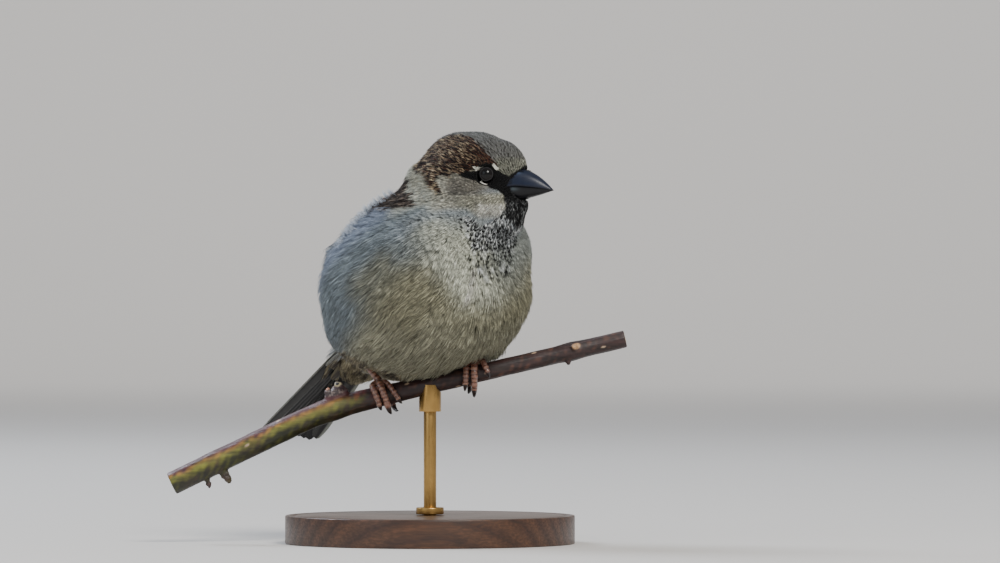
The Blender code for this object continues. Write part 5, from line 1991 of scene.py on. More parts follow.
@dataclass
class Bill:
    """The stout conical bill in two closed halves, with nostrils and a cutting edge. Sizes in millimetres."""

    root: float = 14.0
    length: float = 14.6
    half_width: float = 4.3
    buried: float = 3.0
    nostril: tuple[float, float] = (1.5, 0.62)
    rings: int = 64
    around: int = 36

    def culmen(self, t: Array) -> Array:
        """Height of the ridge at t, 0 at the forehead and 1 at the tip."""
        return 0.6 - 7.4 * np.maximum(t, 0) ** 2.155

    def seam(self, t: Array) -> Array:
        """Height of the line where the halves meet, turned down towards the gape."""
        return -5.3 - 1.5 * np.maximum(t, 0) ** 2 - 0.9 * np.exp(-np.maximum(t, 0) / 0.07)

    def gonys(self, t: Array) -> Array:
        """Height of the lower edge."""
        return -6.85 - 3.3 * (1 - np.maximum(t, 0) ** 1.5)

    def width(self, t: Array) -> Array:
        """Half the width."""
        return self.half_width * np.maximum(1 - np.maximum(t, 0) ** 1.6, 0) ** 0.8 + 0.14

    def hides(self, head: Array) -> Array:
        """Which points of the head's frame, in millimetres, lie in the bill or just over it."""
        x, y, z = head.T
        t = (x - self.root) / self.length
        seam, top, low = self.seam(t), self.culmen(t), self.gonys(t)
        up = np.clip((z - seam) / (top - seam), 0, 1) ** 2.2
        down = np.clip((seam - z) / (seam - low), 0, 1) ** 2.5
        wide = self.width(np.minimum(t, 1)) * np.where(z > seam, (1 - up) ** 0.46, 0.93 * (1 - down) ** 0.46)
        return (x > self.root - 0.3) & (z < top + 0.05) & (z > low - 0.1) & (np.abs(y) < wide + 0.12)

    def feather_line(self, bow: Array) -> Array:
        """How far forward the face's feathers reach at a turn round the bill, 0 at its top and pi below."""
        return np.interp(bow, (0, 0.5, 1.1, 1.6, 2.1, 2.7, np.pi), (20.7, 19.0, 16.0, 14.9, 15.6, 18.2, 19.3))

    def bristles(self, plume: bpy.types.Material, count: int = 260) -> None:
        """Short dark bristles that point forward from the face over the root of the bill."""
        rng = np.random.default_rng(15)
        bow, side = rng.uniform(0, np.pi, count), np.where(rng.random(count) < 0.5, -1.0, 1.0)
        start = self.feather_line(bow) - rng.uniform(0.3, 1.3, count)
        reach = rng.uniform(1.0, 2.1, count)
        turn, over = np.abs(np.pi / 2 - bow), bow < np.pi / 2
        rows = []
        for share, rise in ((0.0, -0.25), (0.55, 0.14), (1.0, 0.2)):
            x = start + reach * share
            t = np.clip((x - self.root) / self.length, -0.2, 1)
            seam, far = self.seam(t), np.where(over, self.culmen(t), self.gonys(t))
            y = self.width(t) * np.cos(turn) ** 0.92 + rise * np.cos(turn)
            z = seam + (far - seam) * np.sin(turn) ** 0.9 + rise * np.sin(turn) * np.where(over, 1, -1)
            rows.append(np.stack([x, side * y, z], 1))
        across = unit(np.cross(rows[2] - rows[0], np.array((0.0, 0.0, 1.0))))
        up = unit(np.cross(across, rows[2] - rows[0]))
        width = rng.uniform(0.045, 0.075, count)[:, None]
        ring = [rows[1] - across * width, rows[1] + across * width, rows[1] + up * width]
        points = on_head(np.stack([rows[0], *ring, rows[2]], 1).reshape(-1, 3))
        faces = np.array([(0, 3, 2), (0, 1, 3), (0, 2, 1), (4, 2, 3), (4, 3, 1), (4, 1, 2)])
        triangles = (np.arange(count)[:, None, None] * 5 + faces[None]).reshape(-1, 3)
        tone = mix(tint(20, 19, 20), tint(96, 90, 78), step(0.5, 0.2, bow) * (rng.random(count) < 0.5))
        where = np.repeat(np.stack([bow / np.pi, 0.5 + 0.4 * side], 1), 5, 0) * 0.02
        shell = (points, outward(points, triangles))
        shown("nasal_bristles", shell, np.repeat(tone, 5, 0), plume, where)

    def half(self, upper: bool) -> tuple[Shell, Array]:
        """The upper or the lower half of the bill: its shell in the head's frame, and its colours."""
        hidden = np.linspace(-self.buried / self.length, 0, 6)[:-1]
        t = np.concatenate([hidden, np.linspace(0, 1, self.rings) ** 0.92])
        bow = np.linspace(0, np.pi, self.around)
        wide = self.width(t)[:, None] * (1.0 if upper else 0.93)
        seam, far = self.seam(t)[:, None], (self.culmen(t) if upper else self.gonys(t))[:, None]
        flare = 0.1 * bump(bow, 0, 0.22) + 0.1 * bump(bow, np.pi, 0.22)
        y = wide * np.sign(np.cos(bow)) * np.abs(np.cos(bow)) ** 0.92 * (1 + flare * (0.35 if upper else 0.0))
        z = seam + (far - seam) * np.abs(np.sin(bow)) ** (0.9 if upper else 0.8)
        z = z - (flare * 0.96 if upper else 0)
        inner = np.linspace(-1, 1, 9)[1:-1]
        hollow = 0.5 * (1 - inner**2) * np.clip((self.culmen(t) - self.seam(t)) / 5, 0, 1)[:, None] + 0.03
        y = np.hstack([y, wide * 0.93 * inner])
        z = np.hstack([z, seam + (hollow if upper else -hollow)])
        x = np.broadcast_to(self.root + self.length * t[:, None], y.shape)
        points, pit = np.stack([x, y, z], 2), np.zeros_like(y)
        if upper:
            off, over = x - self.root - self.nostril[0], z + 1.45 - 0.1 * (x - 15.5)
            pit = np.exp(-(np.hypot(off / 0.95, over / self.nostril[1]) ** 4)) * (np.abs(y) > 1.2)
            points[..., 1] -= np.sign(y) * pit * 0.55
            points[..., 2] -= pit * 0.1
        along = np.repeat(t[:, None], x.shape[1], 1)
        # A painted highlight of pale blue along the culmen near its root.
        painted_culmen_highlight = bump(along, 0.14, 0.13) * bump(self.culmen(along) - z, 1.1, 0.7) * upper
        # A painted highlight of blue grey at the lower half's root, by the gape.
        gape = bump(along, 0.14, 0.12) * bump(z - seam, -0.9, 0.55) * (1.0 - upper)
        colours = layered(
            tint(22, 29, 46) if upper else tint(17, 17, 20),
            (tint(128, 148, 182), (0.72 * painted_culmen_highlight).ravel()),
            (tint(92, 104, 110), (0.5 * gape).ravel()),
            # Painted shade in the crease where the halves meet.
            (tint(18, 17, 20), (0.75 * bump(z, seam, 0.35)).ravel()),
            # The shallow nostril pits are painted near black: painted shade in the pits.
            (tint(8, 8, 9), pit.ravel()),
        )
        count, ring = x.shape
        points, first = points.reshape(-1, 3), count * ring
        ends = np.stack([points[:ring].mean(0), points[-ring:].mean(0) + np.array((0.1, 0, -0.02))])
        j = np.arange(ring)
        root = np.stack([np.full(ring, first), (j + 1) % ring, j], 1)
        tip = np.stack([np.full(ring, first + 1), first - ring + j, first - ring + (j + 1) % ring], 1)
        points, triangles = np.vstack([points, ends]), np.vstack([lattice(count, ring, True), root, tip])
        return (points, outward(points, triangles)), np.vstack([colours, colours[:1], colours[-1:]])

    def build(self, horn: bpy.types.Material, plume: bpy.types.Material) -> None:
        """Makes both halves and the bristles round their root."""
        self.bristles(plume)
        for name in ("upper", "lower"):
            (points, triangles), colours = self.half(name == "upper")
            shell = (on_head(points), triangles)
            shown(f"bill_{name}_half", shell, colours, horn, None, [f"bill_{name}"])


@dataclass
class Eye:
    """One eye: a wet dark ball with a bulging front, in a ring of small beaded lids. Sizes in millimetres."""

    side: Side
    radius: float = EYE_RADIUS
    pupil: float = 26.0
    iris: float = 50.0
    lid_angle: float = 52.0
    lid_width: float = 0.22
    lid_height: float = 0.16
    lid_rings: int = 96
    lid_around: int = 18

    def placed(self, points: Array) -> Array:
        """World points from the eye's own frame in millimetres, whose third axis is its gaze."""
        gaze = Vector(unit(np.array((0.3, 0.94 * self.side.value, 0.05))))
        turn = Vector((0, 0, 1)).rotation_difference(gaze).to_matrix()
        centre = (EYE_PLACE + EYE_SHIFT) * np.array((1, self.side.value, 1))
        return on_head(points @ np.array(turn).T + centre)

    def ball(self, wet: bpy.types.Material) -> None:
        """Makes the wet ball."""
        bpy.ops.object.select_all(action="DESELECT")
        bpy.ops.mesh.primitive_uv_sphere_add(segments=64, ring_count=48, radius=1.0)
        ball = bpy.context.active_object
        ball.name = f"eye_ball_{self.side.name.lower()}"
        ways = unit(coordinates(ball.data))
        angle = np.degrees(np.arccos(np.clip(ways[:, 2], -1, 1)))
        size = self.radius * (1 + 0.035 * bump(angle, 0, 34))
        set_coordinates(ball.data, self.placed(ways * size[:, None]))
        brown = tint(11, 6, 5) * (1 + 0.25 * np.sin(np.arctan2(ways[:, 1], ways[:, 0]) * 31))[:, None]
        pupil, rim = step(self.pupil, self.pupil + 5, angle), step(self.iris - 8, self.iris, angle)
        paint_points(ball.data, layered(tint(2, 2, 2), (brown, pupil), (tint(10, 8, 7), rim)))
        ball.data.materials.append(wet)
        ball.data.polygons.foreach_set("use_smooth", np.ones(len(ball.data.polygons), bool))
        hand_over(ball, [f"eye_{self.side.name.lower()}"])

    def lids(self, skin: bpy.types.Material) -> None:
        """Makes the ring of beaded lids."""
        rings, around, lean = self.lid_rings, self.lid_around, math.radians(self.lid_angle)
        turns, bows = (2 * np.pi * np.arange(count) / count for count in (rings, around))
        ring = np.stack([np.cos(turns), np.sin(turns), np.ones(rings)], 1)[:, None, :]
        proud = ring * np.array((math.sin(lean), math.sin(lean), math.cos(lean)))
        downhill = ring * np.array((math.cos(lean), math.cos(lean), -math.sin(lean)))
        bead = 1 + 0.16 * np.cos(turns * 30)[:, None] * np.clip(np.sin(bows), 0, 1)[None, :]
        height = self.radius + 0.02 + np.sin(bows)[None, :] * self.lid_height * bead
        shape = proud * height[:, :, None] + downhill * (np.cos(bows) * self.lid_width)[None, :, None]
        points = self.placed(shape.reshape(-1, 3))
        triangles = lattice(rings + 1, around, True) % (rings * around)
        light = np.tile(step(-0.2, 0.7, -np.cos(bows) + 0.6 * np.sin(bows)), rings) * 0.5
        colours = mix(tint(16, 15, 16), tint(54, 53, 54), light)
        name = f"eye_lids_{self.side.name.lower()}"
        shown(name, (points, outward(points, triangles)), colours, skin)

    def build(self, wet: bpy.types.Material, skin: bpy.types.Material) -> None:
        """Makes the ball and its lids."""
        self.ball(wet)
        self.lids(skin)


@dataclass
class Twig:
    """The cut length of branch: its line, its thickness and its bark. Sizes in millimetres."""

    thick_end: float = -82.0
    thin_end: float = 62.0
    rise: float = 0.4
    bend: float = -33.0
    softness: float = 4.0
    slope: float = 0.235
    extra_slope: float = 0.247
    thin_radius: float = 2.75
    thick_gain: float = 0.9
    voxel: float = 0.32 * MM
    crater: Triple = (-29.5, -1.7, 50.9)
    lumps: tuple[tuple[Triple, Triple], ...] = (
        ((-29.0, -0.5, 48.2), (1.9, 1.9, 3.3)),
        ((-27.6, -0.2, 47.6), (1.7, 1.6, 2.5)),
        ((-30.2, -0.9, 47.0), (1.6, 1.7, 2.6)),
        ((-32.4, -0.6, 46.9), (1.1, 1.2, 2.7)),
    )
    pores: tuple[tuple[float, float], ...] = (
        (-7.3, 48), (18, 100), (33, 30), (-48, 20), (55, 110), (-58, 80), (9, 150), (27, -60),
    )

    def axis(self, x: float | Array) -> Array:
        """Points of the centreline at x, in metres."""
        x = np.asarray(x, float)
        z = PERCH_HEIGHT / MM + self.rise + self.slope * x
        z = z - self.extra_slope * self.softness * np.log1p(np.exp((self.bend - x) / self.softness))
        return np.stack([x, np.zeros_like(x), z], -1) * MM

    def radius(self, x: float | Array) -> Array:
        """The radius at x, in metres."""
        return (self.thin_radius + self.thick_gain / (1 + np.exp((np.asarray(x, float) + 14) / 9))) * MM

    def side(self, x: float, turn: float) -> Array:
        """The way out from the centreline, turned from its top towards the near side."""
        tangent = unit(self.axis(x + 0.05) - self.axis(x - 0.05))
        up = unit(np.cross(tangent, np.array((0.0, 1.0, 0.0))))
        up = up if up[2] > 0 else -up
        return up * math.cos(turn) + np.array((0.0, -1.0, 0.0)) * math.sin(turn)

    def out_from(self, points: Array) -> tuple[Array, Array]:
        """World points' ways and distances from the centreline, in metres."""
        ways = points - self.axis(points[:, 0] / MM)
        return ways, np.linalg.norm(ways, axis=1)

    def relief(self, along: Array, turn: Array) -> Array:
        """Extra radius of the bark: long ridges, swellings and low rings."""
        x = self.thick_end + (self.thin_end - self.thick_end) * along
        ridges = 0.06 * np.sin(turn * 7 + 0.07 * x) * np.sin(0.11 * x + turn)
        ridges += 0.05 * np.sin(turn * 11 - 0.05 * x + 1.3) + 0.035 * np.sin(turn * 17 + 0.16 * x)
        swell = 0.35 * bump(x, -31, 4) + 0.3 * bump(x, 45, 2.6) + 0.12 * bump(x, -69, 4) + 0.1 * bump(x, 8, 3)
        rings = 0.05 * bump(x, 41.5, 0.5) + 0.05 * bump(x, 42.7, 0.4) + 0.05 * bump(x, -24, 0.5)
        return (ridges * 0.8 + swell + rings) * MM

    def colours(self, points: Array) -> Array:
        """Bark colours at world points: maroon, mossy under the thick end and darker round the underside as
        painted shade, pale wood where cut.
        """
        x = points[:, 0] / MM
        ways, reach = self.out_from(points)
        turn = np.degrees(np.arctan2(-unit(ways)[:, 1], unit(ways)[:, 2]))
        round_by, proud = np.abs(turn), reach - self.radius(x)
        drift, fine, grit = (wander(points, size * MM, seed) for size, seed in ((9, 31), (3, 32), (0.9, 34)))
        streak = wander(points * np.array((0.12, 1, 1)), 1.3 * MM, 33)
        left = step(-14, -32, x + 5 * drift)
        under = step(44, 70, round_by + 7 * drift + 4 * fine)
        # The green darkens round the underside: painted shade.
        shaded = np.clip(step(76, 116, round_by + 7 * drift) + 0.3 * fine, 0, 1)
        green = mix(tint(102, 103, 32), tint(36, 38, 14), shaded)
        ochre = left * bump(round_by, 56 - 7 * drift, 13) * np.clip(0.6 + 0.5 * fine, 0, 1)
        red = bump(x, -20.5, 3.6) * step(75, 35, np.abs(turn - 25)) * np.clip(0.5 + fine, 0, 1)
        scar = np.hypot((x - 46.3) / 1.5, (turn - 62) * np.pi / 180 * 2.9 / 1.25)
        knot = bump(x, -30.5, 6) * step(0.7 * MM, 1.6 * MM, proud)
        lump = mix(tint(64, 54, 56), tint(142, 128, 120), step(0.1, 0.7, grit))
        off = (points / MM - np.array(self.crater)) * np.array((0.9, 1, 1.2))
        ring = np.linalg.norm(off, axis=1) + 0.22 * grit
        lip = step(1.35, 1.05, ring) * step(0.45, 0.8, ring) * np.clip(0.75 + 0.5 * fine, 0, 1)
        specks = [
            np.hypot((x - place) / 0.75, (turn - angle) * np.pi / 180 * 3 / 0.38)
            for place, angle in self.pores
        ]
        low, high = self.thick_end, self.thin_end
        cut = np.maximum(step(low + 0.5, low + 0.1, x), step(high - 0.5, high - 0.1, x))
        wood = tint(198, 172, 128) * (1 + 0.1 * np.sin(reach / MM * 14))[:, None]
        return layered(
            tint(50, 29, 27),
            (tint(22, 15, 15), np.clip(0.5 + 0.6 * streak, 0, 1) * 0.75),
            (tint(104, 66, 50), np.clip(0.8 * fine - 0.15 + 0.5 * streak, 0, 1) * 0.4),
            (tint(78, 38, 44), left * (1 - under) * 0.75),
            (green, left * under * np.clip(0.85 + 0.3 * drift, 0, 1)),
            (tint(156, 112, 48), ochre * 0.7),
            (tint(110, 34, 30), red * 0.75),
            (tint(176, 138, 100), step(1.15, 0.75, scar)),
            (tint(52, 36, 34), bump(scar, 1.15, 0.25) * 0.8),
            (lump, knot * 0.85),
            (tint(196, 182, 138), lip),
            (tint(24, 18, 18), step(0.75, 0.5, ring)),
            (tint(186, 128, 96), bump(x, -32.6, 1.2) * step(3.0 * MM, 3.5 * MM, proud)),
            (tint(70, 50, 46), bump(x, -69, 6) * step(1.2 * MM, 2.4 * MM, proud)),
            *((tint(184, 158, 132), step(1.3, 0.7, speck) * 0.8) for speck in specks),
            (wood, cut * step(0.93, 0.86, reach / self.radius(x))),
        )

    def build(self, bark: bpy.types.Material) -> None:
        """Grows the twig and its knots together, marks it and hands it over."""
        x = np.arange(self.thick_end, self.thin_end + 0.3, 0.55)
        x[-1] = self.thin_end
        parts = [tube_arrays(self.axis(x), self.radius(x), 48, relief=self.relief, cap=0.0)]
        nodes = nodes_like("perch_")
        empty, here = (np.zeros((0, 3)), np.zeros((0, 3), int)), Matrix.Identity(4)
        forms = [BodyForm.with_tuft(mesh_of("lump", *empty), *lump, here) for lump in self.lumps]
        forms += [cad_mesh([node]) for node in nodes if not node.startswith(("perch_twig", "perch_shoot"))]
        parts += [(coordinates(mesh), triangles_of(mesh)) for mesh in forms]
        for mesh in forms:
            bpy.data.meshes.remove(mesh)
        obj = fused("perch", parts, self.voxel, 3)
        points = coordinates(obj.data)
        proud = self.out_from(points)[1] - self.radius(points[:, 0] / MM)
        rough = 0.035 * wander(points * np.array((0.3, 1, 1)), 1.2 * MM, 51)
        rough += 0.02 * wander(points, 0.8 * MM, 52)
        lumpy = 0.16 * wander(points, 1.7 * MM, 53) + 0.1 * wander(points, 0.9 * MM, 54)
        rough += step(0.8 * MM, 1.6 * MM, proud) * lumpy
        set_coordinates(obj.data, points + normals_of(obj.data) * (rough * MM)[:, None])
        paint_points(obj.data, self.colours(points))
        obj.data.materials.append(bark)
        hand_over(obj, nodes)


@dataclass(frozen=True)
class Toe:
    """One toe over the twig: angles in degrees, steps and lengths in millimetres."""

    start: float
    end: float
    root_step: float
    tip_step: float
    straight: float
    claw: float
    share: float


@dataclass
class Foot:
    """One foot and lower leg, scaled above and padded below, with its four claws."""

    side: Side
    twig: Twig
    toes: dict[str, Toe]
    heading: Triple
    offset: float = 15.0
    toe_radius: float = 1.14
    tarsus_radius: float = 1.05
    tarsus_length: float = 9.0
    scute: float = 1.35
    shield: float = 1.7
    claw_curl: float = math.radians(62)
    claw_places: int = 18
    claw_around: int = 16
    voxel: float = 0.13 * MM

    def sole(self) -> Array:
        """Where the toes and the leg meet, in metres."""
        x = self.offset * self.side.value
        return self.twig.axis(x) + self.twig.side(x, 0) * (self.twig.radius(x) + 1.65 * MM)

    def route(self, toe: Toe) -> Array:
        """The toe's centreline, in metres."""
        clearance = (self.toe_radius * toe.share * 1.1 + 0.3) * MM
        rows = []
        for t in np.linspace(0, 1, 7):
            angle = math.radians(toe.start + (toe.end - toe.start) * t)
            x = self.offset * self.side.value + toe.root_step + (toe.tip_step - toe.root_step) * t
            rows.append(self.twig.axis(x) + self.twig.side(x, angle) * (self.twig.radius(x) + clearance))
        heading = unit(unit(rows[-1] - rows[-2]) + np.array((0, 0, -0.25)))
        rows.append(rows[-1] + heading * toe.straight * MM)
        sole = self.sole()
        return np.vstack([sole + (rows[0] - sole) * 0.35, rows])

    def claw(self, route: Array, toe: Toe) -> Array:
        """The claw's centreline, curling towards the twig, in metres."""
        heading = unit(route[-1] - route[-2])
        inward = unit(self.twig.axis(route[-1, 0] / MM) - route[-1])
        inward = unit(inward - heading * (inward @ heading))
        radius = (toe.claw + 0.7) * MM / self.claw_curl
        start = route[-1] - heading * 0.55 * MM
        bends = np.linspace(0, self.claw_curl, self.claw_places)
        onward = start + np.outer(np.sin(bends), heading) * radius
        return onward + np.outer(1 - np.cos(bends), inward) * radius

    def toe_shells(self, toe: Toe) -> tuple[Shell, Array, Array, Shell]:
        """A toe's shell, centreline and scale count along it, and its claw's shell."""
        route = self.route(toe)
        length = float(np.linalg.norm(np.diff(route, axis=0), axis=1).sum()) / MM
        places = np.linspace(0, 1, 70)
        centres = along_curve(route, places)
        joints = bump(places, 0.36, 0.07) + bump(places, 0.64, 0.07) + bump(places, 0.93, 0.06)
        radii = self.toe_radius * toe.share * (1.0 - 0.2 * places) * (0.9 + 0.14 * joints) * MM
        middle = centres.mean(0)
        up = unit(middle - self.twig.axis(middle[0] / MM))

        def scutes(along: Array, turn: Array) -> Array:
            """The scales over the toe and the pads below it."""
            top = step(-0.35, 0.3, np.cos(turn))
            phase = (along * length / self.scute) % 1.0
            pads = 0.05 * np.abs(np.sin(along * length * 3.2)) * (1 - top)
            return (top * 0.17 * (np.sin(np.pi * phase) ** 0.55 - 0.8) + pads) * MM

        line = self.claw(route, toe)
        thick = 0.74 * self.toe_radius * toe.share * (1 - 0.8 * np.linspace(0, 1, len(line)) ** 1.5) * MM
        shell = tube_arrays(centres, radii, 30, up=up, relief=scutes)
        return shell, centres, places * length / self.scute, tube_arrays(line, thick, self.claw_around, up=up)

    def leg(self) -> tuple[Shell, Array, Array]:
        """The lower leg's shell, centreline and scale count along it."""
        places = np.linspace(0, 1, 60)
        widths = np.interp(places, (0.0, 0.12, 0.3, 0.6, 0.85, 1.0), (1.2, 1.12, 0.9, 0.84, 0.95, 1.05))
        centres = self.sole() + np.outer(places * self.tarsus_length * MM, unit(np.array(self.heading)))

        def shields(along: Array, turn: Array) -> Array:
            """The scales down the front of the leg."""
            phase = (along * self.tarsus_length / self.shield) % 1.0
            return step(-0.1, 0.5, np.cos(turn)) * 0.12 * (phase**0.8 - 0.7) * MM

        shell = tube_arrays(centres, self.tarsus_radius * widths * MM, 32, up=(0.2, -1, 0.3), relief=shields)
        return shell, centres, places * self.tarsus_length / self.shield

    def colours(self, points: Array, phase: Array) -> Array:
        """The scaled skin's colours at world points, each at its place among the scales."""
        cycle = phase % 1.0
        gap = np.clip(bump(cycle, 0, 0.1) + bump(cycle, 1, 0.1), 0, 1)
        # A painted highlight across the middle of each scale, stronger on some scales than on others.
        gloss = bump(cycle, 0.5, 0.26) * (0.75 + 0.5 * np.sin(np.floor(phase) * 2.4))
        # The skin is darker where the toes lie against the twig: painted shade.
        outer = step(1.6 * MM, 3.2 * MM, self.twig.out_from(points)[1] - self.twig.radius(points[:, 0] / MM))
        rows = layered(
            tint(118, 76, 61),
            (tint(184, 142, 114), np.clip(gloss, 0, 1) * 0.42),
            (tint(48, 29, 24), gap * 0.7),
            (tint(92, 66, 58), (1 - outer) * 0.5),
        )
        return rows * (1 + 0.12 * wander(points, 2.2 * MM, 61))[:, None]

    def build(self, scaled: bpy.types.Material, horn: bpy.types.Material) -> None:
        """Makes the leg with its toes as one skin, and the claws."""
        name = self.side.name.lower()
        *toes, claws = zip(*(self.toe_shells(toe) for toe in self.toes.values()))
        shells, lines, phases = ([*rows, last] for rows, last in zip(toes, self.leg()))
        obj = fused(f"foot_{name}", shells, self.voxel, 2)
        tree, phase, points = tree_over(np.vstack(lines)), np.concatenate(phases), coordinates(obj.data)
        nearest = np.array([tree.find(point)[1] for point in points])
        paint_points(obj.data, self.colours(points, phase[nearest]))
        obj.data.materials.append(scaled)
        hand_over(obj, [f"toe_{name}_{toe}" for toe in self.toes] + [f"tarsus_{name}"])
        taper = np.repeat(np.linspace(0, 1, self.claw_places), self.claw_around)
        shade = np.tile(np.append(taper, (0, 1)), len(claws))
        colours = mix(tint(58, 48, 46), tint(20, 18, 19), shade)
        nodes = [f"claw_{name}_{toe}" for toe in self.toes]
        shown(f"claws_{name}", joined(claws), colours, horn, None, nodes)


RIGHT_TOES = {
    "outer": Toe(34, 116, -2.3, -1.6, 0.8, 2.2, 0.98),
    "middle": Toe(34, 112, 0.0, 0.8, 2.4, 3.0, 1.12),
    "inner": Toe(34, 108, 2.2, 4.4, 0.9, 2.2, 0.86),
    "hind": Toe(-34, -140, 0.4, 2.4, 0.6, 4.2, 1.0),
}
LEFT_TOES = {
    "inner": Toe(34, 112, -2.4, -4.1, 0.9, 3.0, 0.98),
    "middle": Toe(34, 124, 0.0, -1.5, 2.4, 4.2, 1.12),
    "outer": Toe(34, 88, 2.5, 3.2, 0.6, 1.8, 0.94),
    "hind": Toe(-34, -140, -0.4, -3.0, 0.6, 4.2, 1.0),
}


# ---------------------------------------------------------------- stand, light and camera


@dataclass
class Stand:
    """The turned base, the brass rod, its collar and the saddle that holds the twig. Sizes in metres."""

    rod_radius: float = 2 * MM
    seat_depth: float = 5 * MM
    groove: tuple[tuple[float, float], ...] = ((1.6, 0.0), (0.5, -0.6), (0.9, 0.0), (0.5, 0.6), (20.0, 0.0))
    groove_end: float = 23.5 * MM

    @staticmethod
    def blank(node: str, name: str, vertices: int, radius: float) -> tuple[bpy.types.Object, float]:
        """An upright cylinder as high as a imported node, with the height of its top."""
        low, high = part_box(node)
        bpy.ops.object.select_all(action="DESELECT")
        bpy.ops.mesh.primitive_cylinder_add(
            vertices=vertices, radius=radius, depth=high.z - low.z, location=(0, 0, (high.z + low.z) / 2)
        )
        obj = bpy.context.active_object
        obj.name = name
        bpy.ops.object.transform_apply(location=True, rotation=True, scale=True)
        return obj, high.z

    @staticmethod
    def inset(obj: bpy.types.Object, height: float, steps: Sequence[tuple[float, float]]) -> None:
        """Cuts rings into the one face at that height, each a width and a rise."""
        bpy.ops.object.mode_set(mode="EDIT")
        bpy.ops.mesh.select_all(action="DESELECT")
        bm = bmesh.from_edit_mesh(obj.data)
        for face in bm.faces:
            face.select = abs(face.calc_center_median().z - height) < 1e-6 and abs(face.normal.z) > 0.9
        bm.select_flush(True)
        bmesh.update_edit_mesh(obj.data)
        for thickness, depth in steps:
            bpy.ops.mesh.inset(thickness=thickness, depth=depth)
        bpy.ops.object.mode_set(mode="OBJECT")

    @staticmethod
    def dress(
        obj: bpy.types.Object, node: str, finish: bpy.types.Material, slot: Slot, bevel: float, segments: int,
        angle: float,
    ) -> None:
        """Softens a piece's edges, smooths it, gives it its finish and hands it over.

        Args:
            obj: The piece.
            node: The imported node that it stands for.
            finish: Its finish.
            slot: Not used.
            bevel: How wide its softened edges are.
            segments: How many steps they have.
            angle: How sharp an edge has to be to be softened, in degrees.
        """
        edges = {"limit_method": "ANGLE", "angle_limit": math.radians(angle)}
        apply_modifier(obj, "BEVEL", width=bevel, segments=segments, **edges)
        only(obj)
        bpy.ops.object.shade_smooth_by_angle(angle=math.radians(35))
        obj.data.materials.append(finish)
        hand_over(obj, [node])

    @staticmethod
    def width(node: str) -> float:
        """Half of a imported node's width."""
        low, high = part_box(node)
        return (high.x - low.x) / 2

    def turned_base(self, wood: bpy.types.Material) -> None:
        """A turned wooden disc with a rounded shoulder, a shallow groove and a seat for the rod."""
        radius = self.width("stand_base")
        base, top = self.blank("stand_base", "stand_turned_base", 160, radius)
        rings = [(thickness * MM, depth * MM) for thickness, depth in self.groove]
        rings.append((radius - self.groove_end - self.rod_radius - 0.15 * MM, 0.0))
        rings.append((0.0001 * MM, -self.seat_depth))
        self.inset(base, top, rings)
        self.dress(base, "stand_base", wood, Slot.WOOD, 0.7 * MM, 4, 50)

    def fittings(self, brass: bpy.types.Material) -> None:
        """The rod with its softened ends, the turned collar round its foot and the saddle on its top."""
        rod, _ = self.blank("stand_rod", "stand_brass_rod", 48, self.rod_radius)
        self.dress(rod, "stand_rod", brass, Slot.BRASS, 0.25 * MM, 3, 30)
        radius = self.width("stand_collar")
        collar, top = self.blank("stand_collar", "stand_turned_collar", 64, radius)
        hollow = (radius - 0.9 * MM - self.rod_radius - 0.35 * MM, -0.35 * MM)
        self.inset(collar, top, [(0.9 * MM, 0.0), hollow])
        self.dress(collar, "stand_collar", brass, Slot.BRASS, 0.35 * MM, 3, 40)
        saddle = object_of(cad_mesh(["stand_saddle"]))
        saddle.name = "stand_brass_saddle"
        self.dress(saddle, "stand_saddle", brass, Slot.BRASS, 0.25 * MM, 3, 50)


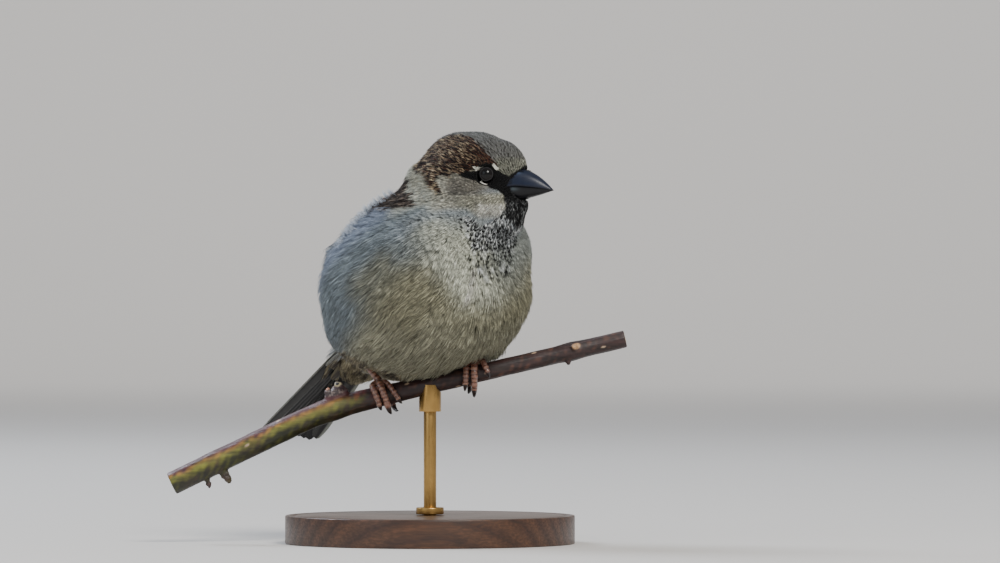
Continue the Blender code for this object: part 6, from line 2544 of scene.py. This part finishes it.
@dataclass
class Studio:
    """Seamless paper, soft lamps and a level camera. Sizes in metres."""

    camera_place: Triple = (0.02222, -2.2, 0.08317)
    lens: float = 249.5
    paper_front: float = -6.0
    paper_back: float = 6.0
    paper_height: float = 5.0
    paper_half: float = 6.0
    paper_bend: float = 2.4

    def sweep(self, paper: bpy.types.Material) -> None:
        """The paper: a flat floor that curves up into a wall."""
        back, bend = self.paper_back, self.paper_bend
        curve = [(self.paper_front, 0.0), (-1.0, 0.0), (back - bend, 0.0)]
        for angle in np.linspace(0, math.pi / 2, 25)[1:]:
            curve.append((back - bend + bend * math.sin(angle), bend - bend * math.cos(angle)))
        curve.append((back, self.paper_height))
        points = [(x, y, z) for y, z in curve for x in (-self.paper_half, 0.0, self.paper_half)]
        mesh = mesh_of("backdrop", np.array(points), lattice(len(curve), 3))
        mesh.materials.append(paper)
        object_of(mesh)

    def lamp(
        self, name: str, place: Triple, size: float, power: float, colour: Triple,
        aim: Triple = (0.0, 0.0, 0.08),
    ) -> None:
        """One square soft lamp that faces the bird, or another aim."""
        light = bpy.data.lights.new(name, "AREA")
        light.shape, light.size, light.energy, light.color = "SQUARE", size, power, colour
        obj = bpy.data.objects.new(name, light)
        bpy.context.scene.collection.objects.link(obj)
        obj.location = place
        obj.rotation_euler = (Vector(aim) - Vector(place)).to_track_quat("-Z", "Y").to_euler()

    def build(self, paper: bpy.types.Material) -> None:
        """Sets up paper, lamps, sky and camera."""
        self.sweep(paper)
        self.lamp("key_lamp", (0.62, -1.4, 1.5), 0.75, 46.0, (1.0, 0.97, 0.92))
        self.lamp("fill_lamp", (-1.5, -1.3, 0.9), 1.3, 6.0, (0.86, 0.93, 1.0))
        self.lamp("rim_lamp", (-1.1, 0.9, 1.3), 0.9, 30.0, (0.8, 0.88, 1.0))
        self.lamp("paper_lamp", (0.0, 3.3, 2.6), 2.0, 60.0, (1.0, 1.0, 1.0), (0.0, 6.0, 0.9))
        world = bpy.data.worlds.new("soft_room")
        world.use_nodes = True
        sky = world.node_tree.nodes["Background"].inputs
        sky["Color"].default_value = (0.93, 0.95, 1.0, 1)
        sky["Strength"].default_value = 0.45
        bpy.context.scene.world = world
        camera = bpy.data.cameras.new("camera")
        camera.lens, camera.clip_start, camera.clip_end = self.lens, 0.05, 30
        obj = bpy.data.objects.new("camera", camera)
        bpy.context.scene.collection.objects.link(obj)
        obj.location = self.camera_place
        obj.rotation_euler = (math.pi / 2, 0, 0)
        bpy.context.scene.camera = obj


def main() -> None:
    """Builds the bird, its perch, the stand and the studio, in that order."""
    plume = PlumeFinish("plume_barbs").material()
    bare = PlumeFinish("bird_skin", 0.8, 0.1, 600.0, 0.3).material()
    vane = VaneFinish("flight_vanes").material()
    form = BodyForm()
    form.build()
    skin = Skin(form)
    skin.unwrap()
    wings = [Wing(side) for side in Side]
    coat = Coat(form, wings)
    coat.build(plume)
    for wing in wings:
        wing.build(vane, bare)
    Tail().build(vane)
    skin.build(bare, coat.scales)
    Bill().build(HornFinish("bill_polish", 0.36, 0.12).material(), plume)
    wet, claws = EyeFinish("eye_wet").material(), HornFinish("claw_polish", 0.3, 0.4, 900.0).material()
    for side in Side:
        Eye(side).build(wet, bare)
    twig = Twig()
    scaled = ScaleFinish("foot_scales").material()
    Foot(Side.RIGHT, twig, RIGHT_TOES, (-0.60, 0.38, 0.70)).build(scaled, claws)
    Foot(Side.LEFT, twig, LEFT_TOES, (-0.20, 0.62, 0.76)).build(scaled, claws)
    twig.build(BarkFinish("young_bark").material())
    stand = Stand()
    stand.turned_base(WoodFinish("oiled_wood").material())
    stand.fittings(BrassFinish("brushed_brass").material())
    Studio().build(PaperFinish("seamless_paper").material())


if __name__ == "__main__":
    main()
